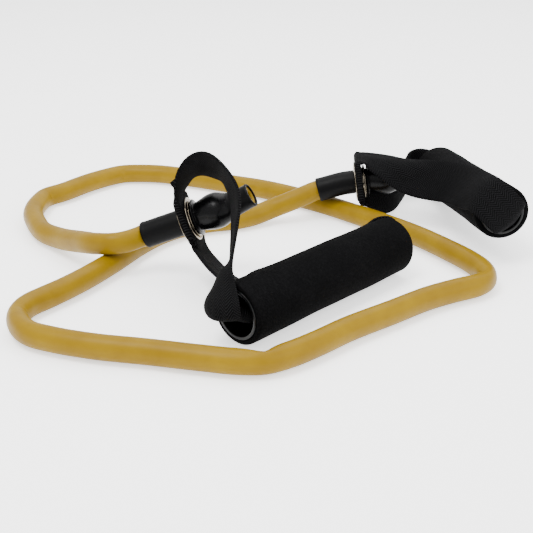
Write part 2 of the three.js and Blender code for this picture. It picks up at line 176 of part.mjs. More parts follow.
// webbing rows around the loop, five points across each
const FAR_WEB = [
  [[18.12, 49.18, 24.41], [18.43, 55.42, 24.41], [18.75, 61.66, 24.41], [19.06, 67.9, 24.41], [19.38, 74.14, 24.41]],
  [[17.48, 49.21, 28.92], [17.79, 55.45, 28.92], [18.11, 61.69, 28.92], [18.42, 67.93, 28.92], [18.74, 74.18, 28.92]],
  [[16.84, 49.24, 33.44], [17.16, 55.48, 33.44], [17.47, 61.72, 33.44], [17.79, 67.97, 33.44], [18.1, 74.21, 33.44]],
  [[16.64, 49.25, 34.84], [16.96, 55.49, 34.84], [17.27, 61.73, 34.84], [17.59, 67.98, 34.84], [17.91, 74.22, 34.84]],
  [[16.38, 49.59, 38.98], [16.7, 55.85, 38.94], [17.01, 62.12, 39], [17.35, 68.36, 38.78], [17.7, 74.62, 38.61]],
  [[21.21, 49.82, 40.04], [21.25, 56.07, 39.68], [21.91, 62.23, 39.51], [22.78, 68.31, 38.66], [23.59, 74.42, 38.55]],
  [[21.88, 49.98, 36.43], [24.37, 55.65, 37.3], [26.26, 61.4, 38.54], [27.84, 67.38, 38.31], [29.51, 73.3, 38.3]],
  [[25.16, 48.85, 34.43], [27.96, 54.22, 36], [30.37, 59.65, 37.98], [32.53, 65.49, 38.1], [34.85, 71.22, 38.18]],
  [[28.72, 47.83, 31.76], [31.75, 52.41, 34.63], [34.3, 57.23, 38.07], [36.77, 63.24, 38.48], [39.34, 68.84, 37.99]],
  [[32.62, 47.05, 28.75], [35.7, 50.49, 32.81], [38.52, 54.85, 36.97], [40.85, 60.98, 38.03], [43.32, 66.67, 37.57]],
  [[36.84, 46.31, 25.81], [39.74, 49.79, 29.95], [42.44, 53.34, 34.63], [44.65, 59.04, 37.01], [47.18, 64.74, 37.38]],
  [[41.35, 45.62, 23.28], [43.78, 49.67, 27.33], [46.22, 52.43, 32.37], [48.32, 56.96, 36.67], [50.96, 62.69, 37.58]],
  [[45.99, 44.82, 21.4], [48.18, 48.77, 25.72], [50.31, 51.66, 30.77], [52.15, 54.88, 36.17], [54.68, 60.47, 38.14]],
  [[50.56, 43.75, 20.2], [52.55, 47.41, 24.87], [54.52, 50.72, 29.8], [56.27, 53.37, 35.3], [58.43, 58.08, 38.87]],
  [[54.87, 42.32, 19.61], [56.7, 45.62, 24.61], [58.54, 48.75, 29.69], [60.28, 51.7, 34.93], [62.1, 55.26, 39.72]],
  [[58.73, 40.46, 19.5], [60.47, 43.37, 24.79], [62.22, 46.19, 30.08], [63.94, 48.98, 35.41], [65.65, 52, 40.57]],
  [[61.93, 37.98, 19.81], [63.67, 40.55, 25.28], [65.43, 43.09, 30.71], [67.21, 45.65, 36.12], [69.01, 48.31, 41.44]],
  [[64.12, 34.76, 20.56], [66.06, 37.12, 26.06], [68.01, 39.46, 31.51], [69.98, 41.82, 36.94], [72, 44.2, 42.3]],
  [[65.36, 31.09, 21.58], [67.67, 33.27, 27.01], [69.93, 35.45, 32.4], [72.2, 37.64, 37.79], [74.5, 39.8, 43.14]],
  [[66.15, 27.21, 22.68], [68.79, 29.21, 28.02], [71.38, 31.24, 33.33], [73.96, 33.26, 38.64], [76.56, 35.25, 43.93]],
  [[66.77, 23.18, 23.77], [69.67, 25.03, 29.01], [72.54, 26.91, 34.23], [75.4, 28.8, 39.45], [78.28, 30.64, 44.65]],
  [[67.3, 19.02, 24.82], [70.4, 20.75, 29.99], [73.5, 22.52, 35.12], [76.6, 24.3, 40.24], [79.74, 26.04, 45.33]],
  [[67.86, 14.74, 25.84], [71.05, 16.41, 30.96], [74.31, 18.11, 36.01], [77.63, 19.82, 41.02], [81.05, 21.49, 45.96]],
  [[68.62, 10.39, 26.75], [71.66, 12.02, 31.97], [74.97, 13.67, 36.99], [78.51, 15.37, 41.84], [82.36, 17.03, 46.47]],
  [[69.8, 6.06, 27.5], [72.16, 7.62, 33.08], [75.35, 9.24, 38.2], [79.24, 10.94, 42.78], [83.81, 12.66, 46.69]],
  [[70.97, 1.8, 28.33], [72.81, 3.22, 34.15], [75.91, 4.8, 39.34], [80.03, 6.53, 43.7], [85.07, 8.33, 46.96]],
  [[72.17, -2.3, 29.13], [73.62, -1.16, 35.15], [76.66, 0.33, 40.4], [80.96, 2.13, 44.57], [86.25, 4.11, 47.28]],
  [[73.5, -6.11, 29.7], [74.82, -5.48, 35.84], [77.87, -4.14, 41.15], [82.31, -2.26, 45.17], [87.66, 0.09, 47.43]],
  [[75.29, -9.44, 29.61], [76.81, -9.44, 35.77], [79.92, -8.3, 41.14], [84.5, -6.37, 45.04], [89.77, -3.55, 46.89]],
  [[78.33, -11.41, 28.44], [79.7, -12.26, 34.61], [82.84, -11.24, 40], [87.52, -9.67, 43.96], [92.8, -6.79, 45.71]],
  [[81.57, -13.14, 26.92], [82.68, -10.97, 32.66], [85.22, -8.77, 37.95], [90.59, -9.69, 41.01], [96.3, -9.8, 43.19]],
  [[83.33, -9.73, 25.04], [84.67, -8.87, 30.97], [87.89, -7.84, 36.07], [93.12, -6.76, 39.15], [98.9, -8.71, 38.66]],
  [[83.76, -5.16, 24.47], [84.46, -4.04, 30.6], [88.22, -2.96, 35.57], [94.34, -2.83, 37.21], [99.54, -4.94, 34.71]],
  [[83.23, -0.77, 24.15], [84.23, 0.26, 30.29], [88.47, 1.32, 34.9], [94.79, 1.4, 35.64], [99.89, -0.07, 32.44]],
  [[82.5, 3.49, 23.83], [83.86, 4.56, 29.9], [88.45, 5.66, 34.16], [94.8, 5.89, 34.31], [99.68, 4.89, 30.62]],
  [[81.72, 7.7, 23.4], [83.35, 8.87, 29.39], [88.15, 10.05, 33.38], [94.49, 10.46, 33.19], [99.2, 9.83, 29.21]],
  [[81.02, 11.94, 22.78], [82.76, 13.23, 28.7], [87.63, 14.48, 32.59], [93.95, 15.04, 32.25], [98.61, 14.72, 28.17]],
  [[80.48, 16.21, 21.93], [82.16, 17.62, 27.84], [86.97, 18.94, 31.76], [93.28, 19.63, 31.48], [97.97, 19.53, 27.4]],
  [[80.11, 20.52, 20.88], [81.59, 22.04, 26.81], [86.23, 23.42, 30.92], [92.52, 24.22, 30.84], [97.3, 24.31, 26.86]],
  [[79.87, 24.86, 19.7], [81.13, 26.49, 25.64], [85.44, 27.93, 30.06], [91.72, 28.81, 30.32], [96.61, 29.05, 26.5]],
  [[79.69, 29.23, 18.46], [80.92, 30.94, 24.32], [84.61, 32.52, 29.2], [90.86, 33.41, 29.92], [95.9, 33.76, 26.3]],
  [[79.39, 33.74, 17.6], [81.51, 35.23, 22.62], [83.78, 37.25, 28.08], [89.93, 37.98, 29.58], [95.12, 38.42, 26.34]],
  [[77.95, 38.31, 18], [82.71, 39.32, 20.15], [83.4, 41.99, 25.84], [88.83, 42.33, 28.53], [94, 42.9, 27.31]],
  [[76.49, 42.97, 18.74], [82.15, 43.66, 17.72], [84.52, 46.17, 22.92], [90.12, 46.22, 25.15], [91.14, 46.63, 30.15]],
  [[75.71, 47.91, 18.36], [81.52, 48.38, 16.54], [86.33, 49.9, 20.19], [90.09, 50.96, 25.04], [88.77, 50.87, 30.93]],
  [[75.27, 52.79, 17.35], [81.28, 53.08, 15.96], [86.44, 54.35, 19.42], [89.19, 55.52, 25], [87.24, 55.54, 30.83]],
  [[75.18, 57.54, 15.93], [81.15, 57.71, 15.23], [85.36, 58.73, 19.66], [88.51, 60.2, 24.85], [86.1, 60.36, 30.47]],
  [[76.1, 61.91, 13.8], [80.88, 62.53, 15.37], [82.21, 62.24, 21.32], [87.18, 64.85, 24.25], [85.69, 65.29, 29.8]],
  [[79.15, 65.88, 11.45], [77.26, 66.3, 16.33], [79.17, 66.39, 22.2], [84.68, 69.13, 23.67], [86.51, 69.97, 28.53]],
  [[80.3, 70.43, 10.62], [76.45, 70.75, 15.4], [77.06, 71.24, 21.67], [81.92, 73.08, 24.99], [86.96, 74.6, 27.21]],
  [[80.54, 75.12, 10.05], [76.26, 75.38, 14.6], [76.06, 76.06, 20.9], [80.3, 77.49, 25.35], [86.03, 79.13, 26.93]],
  [[80.56, 79.86, 9.55], [76.04, 80.03, 13.86], [75.31, 80.72, 20.13], [79.06, 82.03, 25.07], [84.81, 83.59, 26.85]],
  [[80.46, 84.61, 9.07], [75.73, 84.69, 13.15], [74.58, 85.33, 19.37], [77.93, 86.57, 24.6], [83.61, 88.07, 26.69]],
  [[80.25, 89.38, 8.61], [75.34, 89.34, 12.48], [73.86, 89.92, 18.63], [76.89, 91.12, 24.06], [82.46, 92.57, 26.45]],
  [[79.93, 94.17, 8.13], [74.89, 94, 11.82], [73.15, 94.5, 17.92], [75.92, 95.67, 23.5], [81.38, 97.09, 26.14]],
  [[79.48, 98.98, 7.64], [74.35, 98.66, 11.19], [72.44, 99.08, 17.24], [75, 100.23, 22.92], [80.34, 101.65, 25.78]],
  [[78.84, 103.83, 7.1], [73.69, 103.32, 10.57], [71.69, 103.66, 16.59], [74.06, 104.79, 22.36], [79.28, 106.25, 25.4]],
  [[77.92, 108.7, 6.49], [72.87, 107.97, 9.95], [70.93, 108.24, 15.99], [73.09, 109.34, 21.83], [78.07, 110.87, 25.03]],
  [[76.32, 113.43, 5.19], [71.67, 113.25, 9.27], [70.07, 113.71, 15.33], [72.05, 114.65, 21.19], [76.28, 115.75, 25.59]],
  [[73.68, 117.68, 4.34], [69.94, 116.04, 9.09], [68.38, 115.66, 15.27], [69.9, 116.71, 21.35], [73.16, 118.83, 26.24]],
  [[70.12, 121.07, 3.61], [67.61, 119.2, 9], [66.52, 118.63, 15.16], [67.31, 119.43, 21.32], [69.15, 121.11, 27.04]],
  [[65.71, 122.49, 2.96], [64.29, 121.38, 8.93], [63.43, 120.62, 15.07], [63.7, 120.94, 21.31], [64.48, 121.44, 27.48]],
  [[61.78, 120.4, 2.44], [60.31, 120.67, 8.56], [59.55, 120.51, 14.84], [59.72, 120.02, 21.14], [60.55, 119.09, 27.28]],
  [[58.53, 117.38, 2.02], [57.78, 117.23, 8.24], [57.33, 116.97, 14.49], [57.19, 116.63, 20.75], [57.31, 116.16, 27]],
  [[56.5, 113.33, 1.71], [56.11, 113.1, 7.95], [55.82, 112.85, 14.19], [55.63, 112.58, 20.44], [55.5, 112.28, 26.71]],
  [[55, 108.95, 1.48], [54.77, 108.76, 7.72], [54.58, 108.56, 13.97], [54.42, 108.35, 20.22], [54.29, 108.14, 26.49]],
  [[53.59, 104.48, 1.34], [53.44, 104.35, 7.58], [53.3, 104.22, 13.83], [53.18, 104.08, 20.08], [53.06, 103.95, 26.34]],
  [[52.2, 99.98, 1.26], [52.06, 99.94, 7.5], [51.93, 99.88, 13.75], [51.8, 99.81, 20], [51.66, 99.75, 26.26]],
  [[50.78, 95.5, 1.25], [50.58, 95.54, 7.47], [50.39, 95.57, 13.72], [50.19, 95.58, 19.97], [49.98, 95.6, 26.22]],
  [[49.28, 91.05, 1.25], [48.95, 91.2, 7.46], [48.61, 91.35, 13.7], [48.25, 91.46, 19.94], [47.87, 91.57, 26.18]],
  [[47.71, 86.61, 1.25], [47.14, 86.93, 7.46], [46.55, 87.24, 13.67], [45.91, 87.52, 19.88], [45.22, 87.79, 26.09]],
  [[46.16, 82.14, 1.32], [45.2, 82.72, 7.45], [44.23, 83.28, 13.6], [43.16, 83.81, 19.73], [42.02, 84.33, 25.85]],
  [[44.62, 77.6, 1.46], [43.13, 78.54, 7.42], [41.64, 79.49, 13.41], [40.05, 80.39, 19.39], [38.35, 81.25, 25.33]],
  [[42.91, 72.94, 1.7], [40.83, 74.42, 7.35], [38.79, 75.93, 13.06], [36.64, 77.34, 18.76], [34.34, 78.68, 24.4]],
  [[40.73, 68.14, 2.13], [38.13, 70.4, 7.23], [35.67, 72.66, 12.5], [33.06, 74.75, 17.79], [30.21, 76.7, 23]],
  [[37.73, 63.23, 2.92], [34.85, 66.54, 7.13], [32.27, 69.79, 11.76], [29.44, 72.76, 16.48], [26.22, 75.47, 21.12]],
  [[33.66, 58.44, 4.53], [30.91, 62.94, 7.35], [28.63, 67.34, 11.05], [25.96, 71.56, 14.76], [22.74, 75.34, 18.59]],
  [[28.68, 54.3, 7.74], [26.47, 59.72, 8.54], [24.78, 65.27, 10.76], [22.94, 71.06, 12.4], [20.3, 75.98, 15.4]],
  [[20.63, 52.6, 13.94], [21, 57.24, 10.81], [21.17, 63.32, 10], [20.57, 69.6, 12.17], [20.09, 74.48, 17.34]],
  [[19.39, 49.11, 15.39], [19.7, 55.35, 15.39], [20.02, 61.6, 15.39], [20.33, 67.84, 15.39], [20.65, 74.08, 15.39]],
  [[18.75, 49.14, 19.89], [19.07, 55.39, 19.89], [19.38, 61.63, 19.89], [19.7, 67.87, 19.89], [20.01, 74.11, 19.89]],
];

// ------------------------------------------------------------------ helpers
const vec = (a) => new THREE.Vector3(a[0], a[1], a[2]);

function interp(table, t) {
  if (t <= table[0][0]) return table[0][1];
  for (let i = 1; i < table.length; i++) {
    if (t <= table[i][0]) {
      const [t0, v0] = table[i - 1];
      const [t1, v1] = table[i];
      return v0 + (v1 - v0) * (t - t0) / (t1 - t0);
    }
  }
  return table[table.length - 1][1];
}

// points along a polyline axis at the distances ts from its start
function along(axis, ts) {
  const pts = axis.map(vec);
  const len = [0];
  for (let i = 1; i < pts.length; i++) len.push(len[i - 1] + pts[i].distanceTo(pts[i - 1]));
  return ts.map((t) => {
    let i = 1;
    while (i < pts.length - 1 && t > len[i]) i++;
    const d = pts[i].clone().sub(pts[i - 1]).normalize();
    return pts[i - 1].clone().addScaledVector(d, t - len[i - 1]);
  });
}

// section frames without twist, started with one flat of the polygon facing down
function frames(pts) {
  const n = pts.length;
  const T = pts.map((p, i) => {
    const before = i > 0 ? p.clone().sub(pts[i - 1]).normalize() : new THREE.Vector3();
    const after = i < n - 1 ? pts[i + 1].clone().sub(p).normalize() : new THREE.Vector3();
    return before.add(after).normalize();
  });
  const up = new THREE.Vector3(0, 0, 1);
  return T.map((t) => {
    const v = up.clone().addScaledVector(t, -up.dot(t)).normalize();
    const u = t.clone().cross(v).normalize();
    return { t, u, v };
  });
}

function solid(positions, index) {
  const g = new THREE.BufferGeometry();
  g.setAttribute('position', new THREE.Float32BufferAttribute(positions, 3));
  g.setIndex(index);
  return g;
}

// closed shell swept along pts: outer radius ro, inner radius ri (0 for none)
function sweptShell(pts, ro, ri, sides) {
  const F = frames(pts);
  const pos = [];
  const idx = [];
  const n = pts.length;
  const ring = (i, r) => {
    const start = pos.length / 3;
    const R = r / Math.cos(Math.PI / sides);
    for (let k = 0; k < sides; k++) {
      const a = (k + 0.5) * 2 * Math.PI / sides + Math.PI / 2;
      const p = pts[i].clone().addScaledVector(F[i].u, R * Math.cos(a)).addScaledVector(F[i].v, R * Math.sin(a));
      pos.push(p.x, p.y, p.z);
    }
    return start;
  };
  const out = [];
  const inn = [];
  for (let i = 0; i < n; i++) out.push(ring(i, ro[i]));
  const hollow = ri !== null;
  if (hollow) for (let i = 0; i < n; i++) inn.push(ring(i, ri[i]));
  const quad = (a, b, c, d) => { idx.push(a, b, c, a, c, d); };
  for (let i = 0; i + 1 < n; i++) {
    for (let k = 0; k < sides; k++) {
      const k2 = (k + 1) % sides;
      quad(out[i] + k, out[i] + k2, out[i + 1] + k2, out[i + 1] + k);
      if (hollow) quad(inn[i] + k2, inn[i] + k, inn[i + 1] + k, inn[i + 1] + k2);
    }
  }
  for (let k = 0; k < sides; k++) {
    const k2 = (k + 1) % sides;
    if (hollow) {
      quad(inn[0] + k, inn[0] + k2, out[0] + k2, out[0] + k);
      quad(out[n - 1] + k, out[n - 1] + k2, inn[n - 1] + k2, inn[n - 1] + k);
    } else if (k > 0 && k2 > 0) {
      idx.push(out[0], out[0] + k2, out[0] + k);
      idx.push(out[n - 1], out[n - 1] + k, out[n - 1] + k2);
    }
  }
  return orient(solid(pos, idx));
}

// turns the faces outward when the enclosed volume comes out negative
function orient(g) {
  const p = g.getAttribute('position');
  const ix = g.getIndex().array;
  let v = 0;
  const a = new THREE.Vector3();
  const b = new THREE.Vector3();
  const c = new THREE.Vector3();
  for (let i = 0; i < ix.length; i += 3) {
    a.fromBufferAttribute(p, ix[i]);
    b.fromBufferAttribute(p, ix[i + 1]);
    c.fromBufferAttribute(p, ix[i + 2]);
    v += a.dot(b.clone().cross(c));
  }
  if (v < 0) {
    const r = [];
    for (let i = 0; i < ix.length; i += 3) r.push(ix[i], ix[i + 2], ix[i + 1]);
    g.setIndex(r);
  }
  return g;
}

// ring or disc turned from a closed profile of [radius, height], placed on an axis
function turned(profile, sides, origin, dir) {
  const prof = profile.map((p) => new THREE.Vector2(p[0], p[1]));
  let g = new THREE.LatheGeometry(prof, sides);
  g.deleteAttribute('normal');
  g.deleteAttribute('uv');
  g = BufferGeometryUtils.mergeVertices(g, 1e-4);
  const q = new THREE.Quaternion().setFromUnitVectors(new THREE.Vector3(0, 1, 0), dir.clone().normalize());
  g.applyQuaternion(q);
  g.translate(origin.x, origin.y, origin.z);
  return orient(dropDegenerate(g));
}

function dropDegenerate(g) {
  const ix = g.getIndex().array;
  const r = [];
  for (let i = 0; i < ix.length; i += 3) {
    if (ix[i] !== ix[i + 1] && ix[i + 1] !== ix[i + 2] && ix[i] !== ix[i + 2]) r.push(ix[i], ix[i + 1], ix[i + 2]);
  }
  g.setIndex(r);
  return g;
}

function toManifold(g) {
  const p = g.getAttribute('position');
  return new wasm.Manifold(new wasm.Mesh({
    numProp: 3,
    vertProperties: new Float32Array(p.array),
    triVerts: new Uint32Array(g.getIndex().array),
  }));
}

function fromManifold(m) {
  const mesh = m.getMesh();
  const p = [];
  for (let i = 0; i < mesh.vertProperties.length; i += mesh.numProp) {
    p.push(mesh.vertProperties[i], mesh.vertProperties[i + 1], mesh.vertProperties[i + 2]);
  }
  return solid(p, Array.from(mesh.triVerts));
}

// closed loop of webbing: rows of points across the width, thickened both ways
function webbing(rows, stackC, stackUp, axis, gripFrom, gripTo) {
  const n = rows.length;
  const m = rows[0].length;
  const P = rows.map((r) => r.map(vec));
  const N = P.map((r, i) => r.map((p, j) => {
    const t = P[(i + 1) % n][j].clone().sub(P[(i + n - 1) % n][j]);
    const w = r[Math.min(m - 1, j + 1)].clone().sub(r[Math.max(0, j - 1)]);
    return t.cross(w).normalize();
  }));
  const half = (p) => {
    const r = p.clone().sub(stackC);
    if (Math.abs(r.dot(axis)) > 0.5) return PLY_HALF;
    return Math.abs(r.dot(stackUp)) < 11 ? STACK_HALF : PLY_HALF;
  };
  const pos = [];
  const idx = [];
  for (let i = 0; i < n; i++) {
    for (const s of [1, -1]) {
      for (let j = 0; j < m; j++) {
        const h = half(P[i][j]);
        const q = P[i][j].clone().addScaledVector(N[i][j], s * h);
        pos.push(q.x, q.y, q.z);
      }
    }
  }
  const at = (i, s, j) => (i % n) * 2 * m + s * m + j;
  const quad = (a, b, c, d) => { idx.push(a, b, c, a, c, d); };
  for (let i = 0; i < n; i++) {
    for (let j = 0; j + 1 < m; j++) {
      quad(at(i, 0, j), at(i, 0, j + 1), at(i + 1, 0, j + 1), at(i + 1, 0, j));
      quad(at(i, 1, j + 1), at(i, 1, j), at(i + 1, 1, j), at(i + 1, 1, j + 1));
    }
    quad(at(i, 1, 0), at(i, 0, 0), at(i + 1, 0, 0), at(i + 1, 1, 0));
    quad(at(i, 0, m - 1), at(i, 1, m - 1), at(i + 1, 1, m - 1), at(i + 1, 0, m - 1));
  }
  const loop = orient(solid(pos, idx));
  const drill = turned([[0, -8], [STRAP_HOLE, -8], [STRAP_HOLE, 8], [0, 8]], 24, stackC, axis);
  // room for the grip, which turns inside the loop
  const a = vec(gripFrom);
  const L = GRIP_LEN + 0.35;
  const room = turned([
    [CORE_BORE - 0.4, -0.35], [FOAM_R + 0.35, -0.35], [FOAM_R + 0.35, L], [CORE_BORE - 0.4, L], [CORE_BORE - 0.4, -0.35],
  ], 36, a, vec(gripTo).sub(a));
  return fromManifold(toManifold(loop).subtract(toManifold(drill)).subtract(toManifold(room)));
}

// ------------------------------------------------------------------ pieces
const group = new THREE.Group();
const material = (color, roughness, metalness) => new THREE.MeshStandardMaterial({ color, roughness, metalness });
const YELLOW = [0xb39429, 0.45, 0];
const VINYL = [0x26262a, 0.35, 0];
const STEEL = [0xc9c4b4, 0.3, 1];
const WEB = [0x2c2d30, 0.9, 0];
const FOAM = [0x3b3b3e, 0.95, 0];
const CORE = [0x2a2a2c, 0.4, 0];
const PLUG = [0x35353a, 0.4, 0];

function add(name, geometry, look) {
  const mesh = new THREE.Mesh(geometry, material(...look));
  mesh.name = name;
  group.add(mesh);
}

const stationsT = [0, 16, 30.5, 35.5, 40, 44, 48, 51.5, 57, 63.5];
const tubeT = [-3, 0, 16, 30.5, 35.5, 40, 44, 48, 51.5, 57, TUBE_END];

function sleeve(name, axis) {
  const pts = along(axis, stationsT);
  const ro = stationsT.map((t) => interp(COVER, t));
  add(name, sweptShell(pts, ro, ro.map((r) => r - SLEEVE_WALL + 0), SLEEVE_SIDES), VINYL);
}

function endOuter(t) { return t < 0 ? TUBE_R : (interp(COVER, t) - SLEEVE_WALL - SKIN_GAP) * Math.cos(Math.PI / TUBE_SIDES); }
function endBore(t) {
  if (t < 31) return TUBE_BORE;
  return Math.min(Math.max(TUBE_BORE, endOuter(t) - 1.9), 6.8);
}

function plug(name, axis) {
  const ts = [PLUG_FROM, 35.5, 40, 44, 48, PLUG_TO];
  const pts = along(axis, ts);
  add(name, sweptShell(pts, ts.map((t) => endBore(t) - 0.35), null, 16), PLUG);
}

function eyelet(prefix, axis) {
  const c = along(axis, [EYELET_AT])[0];
  const d = along(axis, [EYELET_AT + 1])[0].sub(c).normalize();
  add(prefix + 'grommet', turned([
    [BARREL_IN, -2.9], [FLANGE_R, -2.9], [FLANGE_R, -2.3], [BARREL_OUT, -2.3], [BARREL_OUT, 3.2], [9.9, 3.2], [9.9, 3.8], [BARREL_IN, 3.8], [BARREL_IN, -2.9],
  ], 32, c, d), STEEL);
  add(prefix + 'grommet_washer', turned([
    [WASHER_IN, 2.3], [FLANGE_R - 0.6, 2.3], [FLANGE_R - 0.6, 2.9], [WASHER_IN, 2.9], [WASHER_IN, 2.3],
  ], 32, c, d), STEEL);
  return { c, d };
}

function grip(prefix, from, to) {
  const a = vec(from);
  const d = vec(to).sub(a).normalize();
  const L = GRIP_LEN;
  add(prefix + 'grip_core', turned([
    [CORE_BORE, 0], [CORE_R, 0], [CORE_R, L], [CORE_BORE, L], [CORE_BORE, 0],
  ], 32, a, d), CORE);
  add(prefix + 'grip_foam', turned([
    [FOAM_BORE, 0.5], [FOAM_R - 1, 0.5], [FOAM_R, 1.5], [FOAM_R, L - 1.5], [FOAM_R - 1, L - 0.5], [FOAM_BORE, L - 0.5], [FOAM_BORE, 0.5],
  ], 36, a, d), FOAM);
}

// tube: near end inside its sleeve, the free run, far end inside its sleeve
{
  const pts = [...along(NEAR_AXIS, tubeT).reverse(), ...ROUTE.map(vec), ...along(FAR_AXIS, tubeT)];
  const ts = [...tubeT.slice().reverse(), ...ROUTE.map(() => -10), ...tubeT];
  add('tube', sweptShell(pts, ts.map(endOuter), ts.map(endBore), TUBE_SIDES), YELLOW);
}

sleeve('near_cover_sleeve', NEAR_AXIS);
sleeve('far_cover_sleeve', FAR_AXIS);
plug('near_plug', NEAR_AXIS);
plug('far_plug', FAR_AXIS);
const nearEye = eyelet('near_', NEAR_AXIS);
const farEye = eyelet('far_', FAR_AXIS);
add('near_strap', webbing(NEAR_WEB, nearEye.c, vec(NEAR_STACK_UP), nearEye.d, NEAR_GRIP_FROM, NEAR_GRIP_TO), WEB);
add('far_strap', webbing(FAR_WEB, farEye.c, vec(FAR_STACK_UP), farEye.d, FAR_GRIP_FROM, FAR_GRIP_TO), WEB);
grip('near_', NEAR_GRIP_FROM, NEAR_GRIP_TO);
grip('far_', FAR_GRIP_FROM, FAR_GRIP_TO);

export default group;
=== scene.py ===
# Resistance band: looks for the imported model. Metres, +Z up.
import math

import bpy
import numpy as np
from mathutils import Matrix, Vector


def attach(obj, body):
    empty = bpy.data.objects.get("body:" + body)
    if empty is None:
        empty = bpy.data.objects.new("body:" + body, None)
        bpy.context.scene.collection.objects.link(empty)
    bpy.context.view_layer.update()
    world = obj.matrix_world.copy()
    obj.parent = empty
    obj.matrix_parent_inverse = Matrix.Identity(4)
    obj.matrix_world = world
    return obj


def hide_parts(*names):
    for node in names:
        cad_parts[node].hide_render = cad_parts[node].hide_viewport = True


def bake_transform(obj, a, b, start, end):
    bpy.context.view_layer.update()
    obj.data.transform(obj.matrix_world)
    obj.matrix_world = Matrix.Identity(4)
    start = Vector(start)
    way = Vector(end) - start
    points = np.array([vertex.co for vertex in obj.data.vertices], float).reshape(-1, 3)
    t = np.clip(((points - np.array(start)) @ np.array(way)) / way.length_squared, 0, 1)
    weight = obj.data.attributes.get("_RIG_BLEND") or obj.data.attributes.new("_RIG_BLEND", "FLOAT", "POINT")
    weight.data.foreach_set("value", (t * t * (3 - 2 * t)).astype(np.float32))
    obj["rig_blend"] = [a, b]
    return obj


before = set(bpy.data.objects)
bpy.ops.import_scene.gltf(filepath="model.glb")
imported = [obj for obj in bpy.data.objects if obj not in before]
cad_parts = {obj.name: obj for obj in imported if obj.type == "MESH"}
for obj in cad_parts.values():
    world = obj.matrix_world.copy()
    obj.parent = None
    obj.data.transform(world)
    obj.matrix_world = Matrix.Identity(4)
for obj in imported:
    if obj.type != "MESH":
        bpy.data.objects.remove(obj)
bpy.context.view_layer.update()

# --------------------------------------------------------------- layout (mm)
CAM = [-38.59, -524.82, 222.0]
NEAR_AXIS = [[-104.59, -19.62, 21], [-56.74, -23.48, 39.65], [-46.51, -24.31, 45.87]]
FAR_AXIS = [[-6.7, 62.01, 18.5], [8.66, 62.17, 22.98], [55.63, 59.8, 29.62]]
NEAR_GRIP_FROM = [-52.8, -106.57, 15.5]
NEAR_GRIP_TO = [29.62, -19.35, 15.5]
FAR_GRIP_FROM = [91.9, -5.86, 28.91]
FAR_GRIP_TO = [75.39, 112.25, 15.5]
ROUTE = [
    (-115.65, -25.07, 18.89), (-120.73, -26.68, 18.83), (-125.61, -25.11, 18.11), (-132.9, -19.83, 16.41),
    (-143.91, -7.45, 12.31), (-158.14, 9.7, 7.49), (-169.41, 22.08, 6.24), (-176.64, 36.38, 6.25),
    (-181.62, 54.62, 6.25), (-182.02, 70.52, 6.25), (-178.82, 81.92, 6.25), (-171.35, 92.66, 6.25),
    (-158.14, 111.59, 6.25), (-145.65, 124.74, 6.25), (-137.89, 129.39, 6.25), (-124.74, 132.21, 6.25),
    (-112.3, 130.92, 6.25), (-92.77, 123.76, 6.25), (-64.82, 110.86, 6.25), (-38.29, 97.62, 6.25),
    (-21.65, 85.78, 6.25), (-0.95, 68.81, 6.25), (15.56, 52.68, 6.25), (31.53, 36.36, 6.25),
    (49.83, 15.26, 6.25), (62.47, -3.68, 6.25), (72.8, -23.84, 6.25), (75, -35.74, 6.25),
    (73.49, -45.42, 6.25), (69.4, -52.11, 6.25), (61.41, -57.81, 6.25), (45.06, -67.29, 6.25),
    (22.21, -85.35, 6.25), (-1.35, -104.04, 6.25), (-16.03, -118.05, 6.25), (-31, -129.88, 6.25),
    (-40.12, -134.3, 6.25), (-49.38, -134.6, 6.25), (-67.15, -131.22, 6.25), (-92.01, -125.47, 6.25),
    (-119.55, -119.62, 6.25), (-138.78, -112.96, 6.25), (-148.67, -106.18, 6.25), (-153.8, -98.36, 6.25),
    (-156.08, -88.73, 6.25), (-154.97, -78.63, 6.25), (-149.3, -67.26, 6.25), (-136.84, -49.06, 6.25),
    (-122.68, -23.09, 6.25), (-110.77, 2.41, 6.25), (-100.23, 18.94, 6.25), (-89.15, 29.79, 6.25),
    (-73.83, 37.67, 6.25), (-55.88, 43.36, 6.25), (-45.43, 49.54, 6.53), (-36.18, 55.05, 8.46),
    (-26.34, 56.92, 11.83),
]
HEM = [[-85.94, -14.89, 53.07], [-88.12, -15.16, 51.19], [-90.21, -15.34, 49.51], [-89.67, -15.9, 48.23], [-88.38, -16.5, 46.86], [-87.85, -17.35, 44.89], [-87.37, -18.42, 42.43], [-85.45, -18.47, 43.58]]
